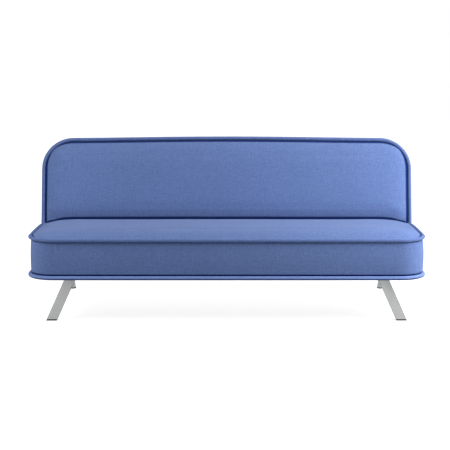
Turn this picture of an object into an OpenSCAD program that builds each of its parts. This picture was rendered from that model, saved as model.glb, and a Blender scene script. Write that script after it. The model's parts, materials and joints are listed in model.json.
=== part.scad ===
// Futon sofa bed: a click-clack seat and backrest on splayed metal legs.
// X is the width, Y runs from front to back, Z is up and the floor is at zero.

/* [Seat] */
// Overall width over the piping
seat_w = 1830; // [1500:10:2000]
// Depth of the seat over the piping
seat_d = 494; // [460:2:560]
// Height of the seam between the band and the underside
seat_low_z = 215; // [200:1:260]
// Height of the band, from the lower seam to the upper seam
seat_band_h = 171; // [150:1:200]
// Rise of the seat's top above the upper seam
seat_crown = 36; // [15:1:45]
// Plan radius of the two front corners
seat_front_r = 130; // [70:5:150]
// Plan radius of the two rear corners
seat_rear_r = 34; // [30:1:45]
// Distance from the seat's edge to the flat of its crown
seat_crown_in = 120; // [90:2:140]

/* [Backrest] */
// Thickness of the backrest between its front and rear seams
back_t = 150; // [145:1:180]
// Length from the hinge axis up to the top seam
back_up = 485; // [430:5:540]
// Recline of the upright backrest, in degrees from vertical
back_recline = 14; // [10:1:18]
// Distance from the hinge axis to the backrest's front seam plane
hinge_drop = 78; // [74:1:84]
// Radius of the two top corners
back_corner_r = 155; // [110:5:170]
// Radius of the rounded lower rear edge
back_tail_r = 40; // [36:1:46]
// Rise of the backrest's front above its seam plane
back_crown = 22; // [12:1:28]
// Distance from the backrest's edge to the flat of its crown
back_crown_in = 80; // [70:2:100]
// Height above the hinge axis where the crown starts
back_crown_z = 60; // [50:2:80]

/* [Cloth] */
// Diameter of the piping
pipe_d = 17; // [12:1:20]
// Thickness of the cover
cloth_t = 2; // [1.5:0.25:3]
// Width of the cover's turned-in edge under the frame
lip_w = 44; // [30:2:60]
// Thickness of the dust cover
dust_t = 1.5; // [1:0.25:2]
// Width of the zip's tape
zip_w = 26; // [20:1:34]
// Thickness of the zip's tape
zip_t = 1.4; // [1:0.2:2]
// Distance from the backrest's sides to the ends of the zip
zip_in = 215; // [180:5:300]
// Height of the zip's centre above the hinge axis
zip_z = 30; // [20:2:60]

/* [Frame] */
// Side of the square frame tubes
rail_s = 30; // [26:1:34]
// Wall of the square frame tubes
rail_wall = 1.5; // [1.2:0.1:2.5]
// Distance from the seat's front and rear to the frame
rail_in = 29; // [27:1:34]
// Distance from the seat's side to the centre of a side rail
side_rail_in = 117; // [112:1:130]
// Distance of each cross rail from the middle
cross_rail_x = 261; // [200:5:320]
// Distance from the backrest's top seam down to its frame
back_frame_in = 52; // [46:1:70]
// Height of the backrest's bottom rail under the hinge axis
back_frame_low = 40; // [38:1:41]

/* [Slats] */
// Width of a slat
slat_w = 63; // [50:1:70]
// Thickness of a slat
slat_t = 8; // [6:0.5:10]
// Distance from one slat to the next
slat_pitch = 112; // [95:1:150]
// Wall of a slat pocket
pocket_wall = 2; // [1.5:0.25:3]
// Length of slat held in each pocket
slat_hold = 24; // [18:1:26]

/* [Front legs] */
// Width of a front leg across its front face
front_leg_w = 45; // [35:1:55]
// Thickness of a front leg from front to back
front_leg_t = 20; // [16:1:24]
// Wall of the leg tubes
leg_wall = 1.5; // [1.2:0.1:2]
// Outward splay of a front leg, in degrees
front_splay = 24.4; // [14:0.1:28]
// Distance from the seat's side to the middle of a front foot
front_foot_in = 105; // [100:1:140]
// Distance from the seat's front to the middle of a front foot
front_foot_y = 88; // [84:1:120]
// Length of the plate on top of a front leg
leg_plate_l = 78; // [74:1:90]
// Width of the plate on top of a front leg
leg_plate_w = 62; // [56:1:80]
// Thickness of the plate on top of a front leg
leg_plate_t = 4; // [3:0.5:5]

/* [Rear legs] */
// Diameter of a rear leg's tube
rear_leg_d = 32; // [25:1:34]
// Distance from the seat's side to the middle of a rear leg
rear_leg_in = 112; // [108:1:120]
// Distance from the seat's front to the middle of a rear foot
rear_foot_y = 826; // [790:2:860]
// Slope of a rear leg below horizontal, in degrees
rear_slope = 50; // [45:1:60]
// Width of the bar that carries a rear leg
leg_bar_w = 32; // [30:1:34]
// Height of the bar that carries a rear leg
leg_bar_h = 20; // [18:1:25]
// Length of the bar in front of the frame's rear rail
leg_bar_hold = 145; // [135:5:165]
// Length of the bar behind the top of the rear leg
leg_bar_tail = 34; // [28:1:45]
// Gap between the bar and the seat's lower piping
bar_gap = 0.5; // [0.3:0.1:2]
// Distance between the two bolts of a rear leg
rear_bolt_pitch = 66; // [60:1:70]
// Height of the floor glides under the legs
glide_h = 6; // [4:0.5:8]
// Depth of the glide plugs inside the legs
plug_h = 22; // [15:1:30]

/* [Hinge] */
// Thickness of the hinge plates and of the pawl
plate_t = 4; // [3:0.5:5]
// Side gap between neighbouring hinge plates
plate_gap = 1; // [0.6:0.1:1.2]
// Radius of the hinge pin
pin_r = 6; // [5:0.25:7]
// Radius of the toothed back plate
ratchet_r = 40; // [37:0.5:41]
// Radius of the seat arm's rounded end
arm_end_r = 20; // [16:1:24]
// Distance from the hinge axis forward to the pawl's pin
pawl_y = 60; // [59:0.25:61]
// Distance from the hinge axis down to the pawl's pin
pawl_z = 10; // [9:0.5:12]
// Radius of the pawl's pin
pawl_pin_r = 4; // [3:0.25:5]
// Length of the seat arm along the side rail
arm_hold = 96; // [90:1:100]

/* [Fasteners] */
// Radius of the bolts
bolt_r = 4; // [3:0.25:5]
// Radius of the bolt heads
head_r = 7; // [6.5:0.25:8]
// Height of the bolt heads
head_h = 5; // [3:0.5:6]
// Height of the nuts
nut_h = 6; // [4:0.5:7]

/* [Clearances] */
// Gap between cloth, foam and their neighbours
soft_gap = 0.3; // [0.2:0.1:0.6]
// Radial gap of a bolt in its hole
hole_gap = 0.3; // [0.2:0.1:0.6]
// Radial running gap of the hinge pins
pin_gap = 0.05; // [0.03:0.01:0.08]
// Gap between the pawl's tip and the toothed plate
pawl_gap = 0.6; // [0.4:0.1:1]
// Gap between the seat's rear piping and the backrest's piping
fold_gap = 3; // [2:0.5:5]

/* [Hidden] */

$fn = 48;
eps = 1;
arc_steps = 10;
crown_tip = 1;

// Room left round what passes through, and lengths that fasteners share
slot_gap = 0.3;
arm_room = 2;
head_room = 3;
hub_room = 6;
bolt_tail = 2;
bolt_edge = 14;
bar_end_l = 30;
spacer_l = 40;

half_w = seat_w / 2;
pipe_r = pipe_d / 2;
// The cover's outline lies inside the overall size by the piping
cover_in = pipe_d + soft_gap;
seat_seam_z = seat_low_z + seat_band_h;

// Hinge axis, behind and below the seat's upper rear piping
hinge_y = seat_d + fold_gap + hinge_drop + pipe_r;
hinge_z = seat_seam_z - hinge_drop;

// Frame of the seat
frame_z = seat_low_z + cloth_t;
rail_top = frame_z + rail_s;
rail_mid = frame_z + rail_s / 2;
front_rail_y = rail_in;
rear_rail_y = seat_d - rail_in - rail_s;
side_y0 = front_rail_y + rail_s;
side_y1 = rear_rail_y;
side_x = half_w - side_rail_in;
side_in_x = side_x - rail_s / 2;
side_out_x = side_x + rail_s / 2;
dust_z = seat_low_z - dust_t;
dust_in = cover_in + 4 * cloth_t;

// Slats
pocket_h = slat_t + 2 * pocket_wall + 2 * slot_gap;
pocket_w = slat_w + 2 * pocket_wall + 2 * slot_gap;
foam_seat = pocket_h + soft_gap;
slat_reach = side_in_x - plate_t - head_h - plate_gap - pocket_w / 2;
slats_per_side = floor(slat_reach / slat_pitch + 0.5);

// Backrest, in its own frame: hinge axis at the origin, front seam plane at -hinge_drop
back_rear = back_t - hinge_drop;
back_low = -hinge_drop;
back_frame_y = back_rear - cloth_t - soft_gap - rail_s;
back_frame_top = back_up - back_frame_in;
upright_x = side_in_x + plate_gap;

// Front legs
front_foot_x = half_w - front_foot_in;
plate_z = dust_z - leg_plate_t;
front_top_x = front_foot_x - plate_z * tan(front_splay);
front_bolt_dy = front_leg_t / 2 + head_r + head_room + bolt_tail;

// Rear legs
rear_x = half_w - rear_leg_in;
rear_r = rear_leg_d / 2;
bar_top = seat_low_z - pipe_r - bar_gap;
bar_low = bar_top - leg_bar_h;
rear_top_y = rear_foot_y - bar_low / tan(rear_slope);
leg_bar_y = side_y1 - leg_bar_hold;
rear_bolt_y = leg_bar_y + bar_end_l;
total_d = rear_foot_y + rear_r / sin(rear_slope);

// Hinge plates and the slots around them
arm_x = side_in_x - plate_t;
tooth_x = side_in_x + plate_gap;
plate_bolts_z = [32, 72];
slot_x0 = arm_x - head_h - head_room - bolt_tail;
slot_x1 = tooth_x + plate_t + nut_h + hub_room;
arm_up = 14;
arm_down = 22;
arm_bend_y = hinge_drop + hub_room;
arm_y0 = side_y1 - arm_hold;
arm_bolts_y = [arm_y0 + bolt_edge, side_y1 - bolt_edge];
lift_max = 10;
fold_max = 90 - back_recline;
tooth_angles = [0, 38, fold_max];
tooth_w = 8;
tooth_h = 6;
pawl_boss_r = pawl_pin_r + 4;
hub_clear_r = ratchet_r + hub_room;
pin_head_r = pin_r + 4;
pin_nut_r = pin_r + 5;
nut_face_x = tooth_x + plate_t + plate_gap / 2;

// Return spring of a pawl
spring_wire = 1;
spring_r = pawl_pin_r + spring_wire + 0.5;
spring_turns = 3;
spring_pitch = 1.8 * spring_wire;
spring_x = tooth_x + plate_t + spring_wire + slot_gap;

// Slider and pull of the zip
slider_w = 18;
slider_h = 12;
slider_t = 4;
pull_w = 6;
pull_l = 28;
pull_t = 2;

steel = "silver";
dark_steel = "dimgray";
cloth_blue = "steelblue";
seam_blue = "cornflowerblue";
foam_cream = "lemonchiffon";
pine = "burlywood";
black = "#202020";

// ---- helpers ----

// Points of an arc about [cx, cy]
function arc(cx, cy, r, a0, a1) =
    [for (i = [0 : arc_steps]) let (a = a0 + (a1 - a0) * i / arc_steps) [cx + r * cos(a), cy + r * sin(a)]];

// A part on the left is the mirror image of the part on the right
module on_side(s) {
    if (s > 0) children();
    else mirror([1, 0, 0]) children();
}

module both() {
    children();
    mirror([1, 0, 0]) children();
}

// Y is measured from the seat's front, and the object's middle is the origin
module base_frame() translate([0, -total_d / 2, 0]) children();

module back_frame() base_frame() translate([0, hinge_y, hinge_z]) rotate([-back_recline, 0, 0]) children();

// A profile drawn in Y and Z, extruded along X from x0 to x1
module along_x(x0, x1) translate([x0, 0, 0]) rotate([90, 0, 90]) linear_extrude(x1 - x0) children();

// Square tube from one corner, open along the axis with the given index
module square_tube(size, axis) {
    inner = [for (i = [0 : 2]) i == axis ? size[i] + 2 * eps : size[i] - 2 * rail_wall];
    shift = [for (i = [0 : 2]) i == axis ? -eps : rail_wall];
    difference() {
        cube(size);
        translate(shift) cube(inner);
    }
}

module hex_nut(h, r, bore_r) difference() {
    cylinder(h = h, r = r, $fn = 6);
    translate([0, 0, -eps]) cylinder(h = h + 2 * eps, r = bore_r);
}

// Bolt with its head below zero and its shank upwards
module bolt(l) {
    translate([0, 0, -head_h]) cylinder(h = head_h, r = head_r);
    cylinder(h = l, r = bolt_r);
}

// ---- seat outlines ----

module seat_plan(inset) {
    x = half_w - inset;
    y0 = inset;
    y1 = seat_d - inset;
    rf = max(seat_front_r - inset, 4);
    rr = max(seat_rear_r - inset, 4);
    polygon(concat(
        arc(x - rf, y0 + rf, rf, -90, 0),
        arc(x - rr, y1 - rr, rr, 0, 90),
        arc(rr - x, y1 - rr, rr, 90, 180),
        arc(rf - x, y0 + rf, rf, 180, 270)
    ));
}

// Solid outline of the seat from z0 up, drawn in by the given amount
module seat_form(off, z0) {
    translate([0, 0, z0]) linear_extrude(seat_seam_z - z0) seat_plan(cover_in + off);
    hull() {
        translate([0, 0, seat_seam_z - eps])
            linear_extrude(eps + pipe_r / 2 - off / 2) seat_plan(cover_in + off);
        translate([0, 0, seat_seam_z + seat_crown - crown_tip - off])
            linear_extrude(crown_tip) seat_plan(seat_crown_in);
    }
}

// Slots through the seat's rear for the hinge arms, from y0 to the back and from z0 up
module arm_slots(y0, z0) both() translate([arm_x - arm_room, y0, z0])
    cube([plate_t + 2 * arm_room, seat_d - y0, hinge_z + arm_up + 2 * arm_room - z0]);

module seat_cover() color(cloth_blue) base_frame() difference() {
    seat_form(0, seat_low_z);
    seat_form(cloth_t, frame_z);
    translate([0, 0, seat_low_z - eps]) linear_extrude(cloth_t + 2 * eps) seat_plan(cover_in + lip_w);
    arm_slots(seat_d - cover_in - cloth_t - eps, rail_top);
}

module seat_foam() color(foam_cream) base_frame() difference() {
    seat_form(cloth_t + soft_gap, frame_z + soft_gap);
    frame_l = rear_rail_y + rail_s - front_rail_y;
    translate([-side_out_x - eps, front_rail_y - eps, frame_z - eps])
        cube([2 * (side_out_x + eps), frame_l + 2 * eps, rail_s + foam_seat + eps]);
    arm_slots(arm_y0 - head_room, frame_z);
    both() translate([side_out_x, arm_y0 - head_room, rail_mid - head_r - head_room])
        cube([nut_h + 2 * bolt_tail, arm_hold + head_room, 2 * (head_r + head_room)]);
}

// Closed loop of piping round the seat at one height
module seat_loop(z) base_frame() translate([0, 0, z]) {
    x = half_w - pipe_r;
    rf = seat_front_r - pipe_r;
    rr = seat_rear_r - pipe_r;
    front_x = x - rf;
    rear_x0 = x - rr;
    front_y = pipe_r + rf;
    rear_y = seat_d - pipe_r - rr;
    translate([-front_x, pipe_r, 0]) rotate([0, 90, 0]) cylinder(h = 2 * front_x, r = pipe_r);
    translate([-rear_x0, seat_d - pipe_r, 0]) rotate([0, 90, 0]) cylinder(h = 2 * rear_x0, r = pipe_r);
    both() {
        translate([x, front_y, 0]) rotate([-90, 0, 0]) cylinder(h = rear_y - front_y, r = pipe_r);
        translate([front_x, front_y, 0]) rotate([0, 0, -90]) rotate_extrude(angle = 90)
            translate([rf, 0]) circle(r = pipe_r);
        translate([rear_x0, rear_y, 0]) rotate_extrude(angle = 90) translate([rr, 0]) circle(r = pipe_r);
    }
}

module seat_piping_upper() color(seam_blue) seat_loop(seat_seam_z);

module seat_piping_lower() color(seam_blue) seat_loop(seat_low_z);

module dust_cover() color(black) base_frame() difference() {
    translate([0, 0, dust_z]) linear_extrude(dust_t) seat_plan(dust_in);
    both() {
        for (y = front_bolts_y()) translate([front_top_x, y, dust_z - eps])
            cylinder(h = dust_t + 2 * eps, r = bolt_r + hole_gap);
        for (y = rear_bolts_y()) translate([rear_x, y, dust_z - eps])
            cylinder(h = dust_t + 2 * eps, r = bolt_r + hole_gap);
    }
}

// ---- seat frame ----

function front_bolts_y() = [front_foot_y - front_bolt_dy, front_foot_y + front_bolt_dy];

function rear_bolts_y() = [rear_bolt_y, rear_bolt_y + rear_bolt_pitch];

module front_rail() color(dark_steel) base_frame()
    translate([-side_out_x, front_rail_y, frame_z]) square_tube([2 * side_out_x, rail_s, rail_s], 0);

module rear_rail() color(dark_steel) base_frame()
    translate([-side_out_x, rear_rail_y, frame_z]) square_tube([2 * side_out_x, rail_s, rail_s], 0);

// Rail from the front rail to the rear rail, centred on x
module long_rail(x) translate([x - rail_s / 2, side_y0, frame_z])
    square_tube([rail_s, side_y1 - side_y0, rail_s], 1);

module side_rail(s) color(dark_steel) base_frame() on_side(s) difference() {
    long_rail(side_x);
    for (y = rear_bolts_y()) translate([rear_x, y, frame_z - eps])
        cylinder(h = rail_wall + 2 * eps, r = bolt_r + hole_gap);
    for (y = arm_bolts_y) translate([side_in_x - eps, y, rail_mid]) rotate([0, 90, 0])
        cylinder(h = rail_s + 2 * eps, r = bolt_r + hole_gap);
}

module leg_rail(s) color(dark_steel) base_frame() on_side(s) difference() {
    long_rail(front_top_x);
    for (y = front_bolts_y()) translate([front_top_x, y, frame_z - eps])
        cylinder(h = rail_wall + 2 * eps, r = bolt_r + hole_gap);
}

module cross_rails() color(dark_steel) base_frame() both() long_rail(cross_rail_x);

// ---- slats, drawn along Y on rails whose tops are at z = 0 ----

module slat_row() for (i = [0 : slats_per_side - 1]) both()
    translate([(i + 0.5) * slat_pitch, 0, 0]) children();

// Slats from the rail that starts at y0 to the rail that ends at y1
module slats(y0, y1) slat_row()
    translate([-slat_w / 2, y0 + rail_s - slat_hold, pocket_wall + slot_gap])
        cube([slat_w, y1 - y0 - 2 * rail_s + 2 * slat_hold, slat_t]);

module pocket() difference() {
    translate([-pocket_w / 2, 0, 0]) cube([pocket_w, rail_s, pocket_h]);
    translate([-slat_w / 2 - slot_gap, rail_s - slat_hold - slot_gap, pocket_wall])
        cube([slat_w + 2 * slot_gap, slat_hold + slot_gap + eps, slat_t + 2 * slot_gap]);
}

module pockets(y0, y1) slat_row() {
    translate([0, y0, 0]) pocket();
    translate([0, y1, 0]) rotate([0, 0, 180]) pocket();
}

module seat_slats() color(pine) base_frame()
    translate([0, 0, rail_top]) slats(front_rail_y, rear_rail_y + rail_s);

module seat_slat_pockets() color(black) base_frame()
    translate([0, 0, rail_top]) pockets(front_rail_y, rear_rail_y + rail_s);

// ---- front legs ----

// Slanted bar of the leg's section between two heights
module leg_bar(w, t, z0, z1) intersection() {
    translate([front_foot_x, front_foot_y, 0]) rotate([0, -front_splay, 0])
        translate([-w / 2, -t / 2, -seat_low_z]) cube([w, t, 3 * seat_low_z]);
    translate([0, 0, z0]) cube([2 * half_w, 2 * front_foot_y, z1 - z0]);
}

module front_leg(s) color(steel) base_frame() on_side(s) difference() {
    leg_bar(front_leg_w, front_leg_t, glide_h, plate_z);
    leg_bar(front_leg_w - 2 * leg_wall, front_leg_t - 2 * leg_wall, glide_h - eps, plate_z + eps);
}

module front_glide(s) color(black) base_frame() on_side(s) {
    fit_wall = leg_wall + hole_gap;
    leg_bar(front_leg_w, front_leg_t, 0, glide_h);
    leg_bar(front_leg_w - 2 * fit_wall, front_leg_t - 2 * fit_wall, glide_h - eps, glide_h + plug_h);
}

module front_leg_plates() color(steel) base_frame() both() difference() {
    translate([front_top_x - leg_plate_w / 2, front_foot_y - leg_plate_l / 2, plate_z])
        cube([leg_plate_w, leg_plate_l, leg_plate_t]);
    for (y = front_bolts_y()) translate([front_top_x, y, plate_z - eps])
        cylinder(h = leg_plate_t + 2 * eps, r = bolt_r + hole_gap);
}

module front_leg_bolts() color(steel) base_frame() both()
    for (y = front_bolts_y()) translate([front_top_x, y, plate_z])
        bolt(frame_z + rail_wall + nut_h - plate_z + bolt_tail);

module front_leg_nuts() color(steel) base_frame() both()
    for (y = front_bolts_y()) translate([front_top_x, y, frame_z + rail_wall])
        hex_nut(nut_h, head_r, bolt_r + pin_gap);

// ---- rear legs ----

// Straight stretch of the leg's line between two heights
module foot_bar(r, z0, z1) intersection() {
    translate([rear_x, rear_foot_y, 0]) rotate([90 - rear_slope, 0, 0])
        translate([0, 0, -2 * rear_leg_d]) cylinder(h = 2 * seat_low_z, r = r);
    translate([0, 0, z0]) cube([2 * half_w, 2 * total_d, z1 - z0]);
}

module rear_leg(s) color(steel) base_frame() on_side(s) difference() {
    foot_bar(rear_r, glide_h, bar_low);
    foot_bar(rear_r - leg_wall, glide_h - eps, bar_low + eps);
}

module rear_leg_bar(s) color(dark_steel) base_frame() on_side(s) difference() {
    translate([rear_x - leg_bar_w / 2, leg_bar_y, bar_low])
        square_tube([leg_bar_w, rear_top_y + leg_bar_tail - leg_bar_y, leg_bar_h], 1);
    for (y = rear_bolts_y()) translate([rear_x, y, bar_low - eps])
        cylinder(h = leg_bar_h + 2 * eps, r = bolt_r + hole_gap);
}

module rear_glide(s) color(black) base_frame() on_side(s) {
    foot_bar(rear_r, 0, glide_h);
    foot_bar(rear_r - leg_wall - hole_gap, glide_h - eps, glide_h + plug_h);
}

module rear_leg_spacers() color(black) base_frame() both() for (y = rear_bolts_y()) difference() {
    translate([rear_x - leg_bar_w / 2, y - spacer_l / 2, bar_top])
        cube([leg_bar_w, spacer_l, dust_z - bar_top]);
    translate([rear_x, y, bar_top - eps]) cylinder(h = dust_z - bar_top + 2 * eps, r = bolt_r + hole_gap);
}

module rear_leg_bolts() color(steel) base_frame() both()
    for (y = rear_bolts_y()) translate([rear_x, y, bar_low])
        bolt(frame_z + rail_wall + nut_h - bar_low + bolt_tail);

module rear_leg_nuts() color(steel) base_frame() both()
    for (y = rear_bolts_y()) translate([rear_x, y, frame_z + rail_wall])
        hex_nut(nut_h, head_r, bolt_r + pin_gap);

// ---- hinge hardware ----

module arm_blank() {
    along_x(arm_x, arm_x + plate_t) polygon([
        [hinge_y, hinge_z + arm_up],
        [hinge_y - arm_bend_y, hinge_z + arm_up],
        [arm_y0, rail_top],
        [arm_y0, frame_z + 1],
        [side_y1 - 1, frame_z + 1],
        [side_y1 - 1, rail_top + 1],
        [rear_rail_y + rail_s, rail_top + 1],
        [hinge_y - arm_bend_y, hinge_z - arm_down],
        [hinge_y, hinge_z - arm_up]
    ]);
    translate([arm_x, hinge_y, hinge_z]) rotate([0, 90, 0]) cylinder(h = plate_t, r = arm_end_r);
}

module hinge_arm(s) color(dark_steel) base_frame() on_side(s) difference() {
    arm_blank();
    translate([arm_x - eps, hinge_y, hinge_z]) rotate([0, 90, 0])
        cylinder(h = plate_t + 2 * eps, r = pin_r + pin_gap);
    translate([arm_x - eps, hinge_y - pawl_y, hinge_z - pawl_z]) rotate([0, 90, 0])
        cylinder(h = plate_t + 2 * eps, r = pawl_pin_r + pin_gap);
    for (y = arm_bolts_y) translate([arm_x - eps, y, rail_mid]) rotate([0, 90, 0])
        cylinder(h = plate_t + 2 * eps, r = bolt_r + hole_gap);
}

module hinge_arm_bolts() color(steel) base_frame() both() for (y = arm_bolts_y) {
    translate([arm_x, y, rail_mid]) rotate([0, 90, 0]) bolt(plate_t + rail_s + nut_h + bolt_tail);
    translate([side_out_x, y, rail_mid]) rotate([0, 90, 0]) hex_nut(nut_h, head_r, bolt_r + pin_gap);
}

module hinge_pin(s) color(steel) base_frame() on_side(s)
    translate([arm_x, hinge_y, hinge_z]) rotate([0, 90, 0]) {
        translate([0, 0, -head_h]) cylinder(h = head_h, r = pin_head_r);
        cylinder(h = nut_face_x + nut_h + bolt_tail - arm_x, r = pin_r);
    }

module hinge_nuts() color(steel) base_frame() both() translate([nut_face_x, hinge_y, hinge_z])
    rotate([0, 90, 0]) hex_nut(nut_h, pin_nut_r, pin_r + pin_gap);

// Boss round the pawl's pin, with a nose that reaches to the toothed plate
module pawl_blank() {
    tip = ratchet_r + pawl_gap;
    translate([tooth_x, -pawl_y, -pawl_z]) rotate([0, 90, 0]) cylinder(h = plate_t, r = pawl_boss_r);
    along_x(tooth_x, tooth_x + plate_t) polygon([
        [-pawl_y - 1, pawl_boss_r - pawl_z - 1],
        [-pawl_y + 8, 6],
        [-tip, 5],
        [-tip, -1],
        [-pawl_y + 10, -8],
        [-pawl_y + 5, -pawl_boss_r - pawl_z + 3]
    ]);
}

module pawl(s) color(steel) base_frame() on_side(s) translate([0, hinge_y, hinge_z]) difference() {
    pawl_blank();
    translate([tooth_x - eps, -pawl_y, -pawl_z]) rotate([0, 90, 0])
        cylinder(h = plate_t + 2 * eps, r = pawl_pin_r + pin_gap);
}

module pawl_pins() color(steel) base_frame() both()
    translate([arm_x, hinge_y - pawl_y, hinge_z - pawl_z]) rotate([0, 90, 0]) {
        head_z = spring_x + (spring_turns - 1) * spring_pitch + spring_wire + slot_gap - arm_x;
        cylinder(h = head_z + eps, r = pawl_pin_r);
        translate([0, 0, head_z]) cylinder(h = bolt_tail, r = spring_r + spring_wire);
    }

module pawl_springs() color(steel) base_frame() both()
    translate([spring_x, hinge_y - pawl_y, hinge_z - pawl_z]) rotate([0, 90, 0])
        for (i = [0 : spring_turns - 1]) translate([0, 0, i * spring_pitch])
            rotate_extrude() translate([spring_r, 0]) circle(r = spring_wire);

// ---- backrest ----

// Side profile in Y and Z, drawn in by the given amount
module back_profile(off) {
    rn = hinge_drop - off;
    rt = back_tail_r - off;
    yr = back_rear - back_tail_r;
    zr = back_low + back_tail_r;
    polygon(concat(
        [[-rn, back_up]],
        arc(0, 0, rn, 180, 270),
        arc(yr, zr, rt, 270, 360),
        [[back_rear - off, back_up]]
    ));
}

// Front outline in X and Z, drawn in by the given amount
module back_outline(off, z0) {
    x = half_w - cover_in - off;
    top = back_up - pipe_r - soft_gap - off;
    r = back_corner_r - cover_in - off;
    polygon(concat([[x, z0]], arc(x - r, top - r, r, 0, 90), arc(r - x, top - r, r, 90, 180), [[-x, z0]]));
}

// The outline stood upright and extruded along Y from y0 to y1
module along_y(y0, y1) translate([0, y1, 0]) rotate([90, 0, 0]) linear_extrude(y1 - y0) children();

module back_form(off) {
    intersection() {
        along_x(-half_w, half_w) back_profile(off);
        along_y(-hinge_drop, back_rear) back_outline(off, back_low - eps);
    }
    hull() {
        along_y(off - hinge_drop, off - hinge_drop + eps) back_outline(off, back_crown_z);
        along_y(off - hinge_drop - back_crown, off - hinge_drop - back_crown + crown_tip)
            back_outline(back_crown_in, back_crown_z + back_crown_in);
    }
}

// Room for the seat arm through the nose of the backrest, over the whole fold
module hinge_room() both() along_x(slot_x0, slot_x1) {
    reach = hinge_drop + 2 * back_crown;
    start = 180 + back_recline - lift_max;
    circle(r = hub_clear_r);
    polygon(concat([[0, 0]], arc(0, 0, reach, start, 270)));
    for (a = [start, 270]) rotate(a) translate([0, -arm_up - arm_room])
        square([reach, arm_up + arm_down + 2 * arm_room]);
}

module back_cover() color(cloth_blue) back_frame() difference() {
    back_form(0);
    back_form(cloth_t);
    hinge_room();
}

module back_foam() color(foam_cream) back_frame() difference() {
    back_form(cloth_t + soft_gap);
    room_x = upright_x + plate_t + rail_s + nut_h + head_room;
    translate([-room_x, back_frame_y - foam_seat, -back_frame_low - eps])
        cube([2 * room_x, back_t, back_frame_top + back_frame_low + 2 * eps]);
    both() translate([tooth_x - head_h - arm_room, 0, 0])
        cube([plate_t + head_h + 2 * arm_room, back_t, plate_bolts_z[1] + 2 * bolt_edge]);
    hinge_room();
}

// Piping up one side, across the top and down the other side
module back_loop(y, z0) translate([0, y, 0]) {
    x = half_w - pipe_r;
    r = back_corner_r - pipe_r;
    corner_z = back_up - r;
    translate([r - x, 0, back_up]) rotate([0, 90, 0]) cylinder(h = 2 * (x - r), r = pipe_r);
    both() {
        translate([x, 0, z0]) cylinder(h = corner_z - z0, r = pipe_r);
        translate([x - r, 0, corner_z]) rotate([90, 0, 0]) rotate_extrude(angle = 90)
            translate([r, 0]) circle(r = pipe_r);
    }
}

module back_piping_front() color(seam_blue) back_frame() {
    back_loop(-hinge_drop, 0);
    both() translate([half_w - pipe_r, 0, 0]) rotate([90, 0, -90]) rotate_extrude(angle = -90)
        translate([hinge_drop, 0]) circle(r = pipe_r);
}

module back_piping_rear() color(seam_blue) back_frame() back_loop(back_rear, back_low + back_tail_r);

module back_rail(z) translate([-upright_x, back_frame_y, z]) square_tube([2 * upright_x, rail_s, rail_s], 0);

module back_top_rail() color(dark_steel) back_frame() back_rail(back_frame_top - rail_s);

module back_bottom_rail() color(dark_steel) back_frame() back_rail(-back_frame_low);

module back_upright(s) color(dark_steel) back_frame() on_side(s) difference() {
    translate([upright_x + plate_t, back_frame_y, -back_frame_low])
        square_tube([rail_s, rail_s, back_frame_top + back_frame_low], 2);
    for (z = plate_bolts_z) translate([upright_x + plate_t - eps, back_frame_y + rail_s / 2, z])
        rotate([0, 90, 0]) cylinder(h = rail_s + 2 * eps, r = bolt_r + hole_gap);
}

module back_inner_rails() color(dark_steel) back_frame() both()
    translate([cross_rail_x - rail_s / 2, back_frame_y, rail_s - back_frame_low])
        square_tube([rail_s, rail_s, back_frame_top + back_frame_low - 2 * rail_s], 2);

// Slats lie on the front faces of the rails
module on_back_rails() translate([0, back_frame_y, 0]) rotate([90, 0, 0]) children();

module back_slats() color(pine) back_frame() on_back_rails() slats(-back_frame_low, back_frame_top);

module back_slat_pockets() color(black) back_frame() on_back_rails() pockets(-back_frame_low, back_frame_top);

module plate_blank() {
    hold_z0 = plate_bolts_z[0] - bolt_edge;
    hold_z1 = plate_bolts_z[1] + bolt_edge;
    translate([tooth_x, 0, 0]) rotate([0, 90, 0]) cylinder(h = plate_t, r = ratchet_r);
    along_x(tooth_x, tooth_x + plate_t) polygon([
        [0, ratchet_r - 4],
        [back_frame_y + 1, hold_z1],
        [back_frame_y + rail_s - 2, hold_z1],
        [back_frame_y + rail_s - 2, hold_z0],
        [back_frame_y - 1, 2],
        [pin_r + 4, 0]
    ]);
}

module back_plate(s) color(dark_steel) back_frame() on_side(s) difference() {
    plate_blank();
    for (a = tooth_angles) along_x(tooth_x - eps, tooth_x + plate_t + eps) rotate(a + 180 + back_recline - 3)
        translate([ratchet_r - tooth_h, -tooth_w / 2]) square([tooth_h + eps, tooth_w]);
    translate([tooth_x - eps, 0, 0]) rotate([0, 90, 0]) cylinder(h = plate_t + 2 * eps, r = pin_r + pin_gap);
    for (z = plate_bolts_z) translate([tooth_x - eps, back_frame_y + rail_s / 2, z]) rotate([0, 90, 0])
        cylinder(h = plate_t + 2 * eps, r = bolt_r + hole_gap);
}

module back_plate_bolts() color(steel) back_frame() both() for (z = plate_bolts_z)
    translate([tooth_x, back_frame_y + rail_s / 2, z]) rotate([0, 90, 0]) {
        bolt(plate_t + rail_s + nut_h + bolt_tail);
        translate([0, 0, plate_t + rail_s]) hex_nut(nut_h, head_r, bolt_r + pin_gap);
    }

module rear_zip() color(black) back_frame()
    translate([zip_in - half_w, back_rear, zip_z - zip_w / 2]) cube([2 * (half_w - zip_in), zip_t, zip_w]);

module zip_pull() color(steel) back_frame() translate([half_w - zip_in - zip_w, back_rear + zip_t, zip_z]) {
    translate([-slider_w / 2, 0, -slider_h / 2]) cube([slider_w, slider_t, slider_h]);
    translate([-pull_w / 2, pull_t / 2, eps - slider_h / 2 - pull_l]) cube([pull_w, pull_t, pull_l]);
}

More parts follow.
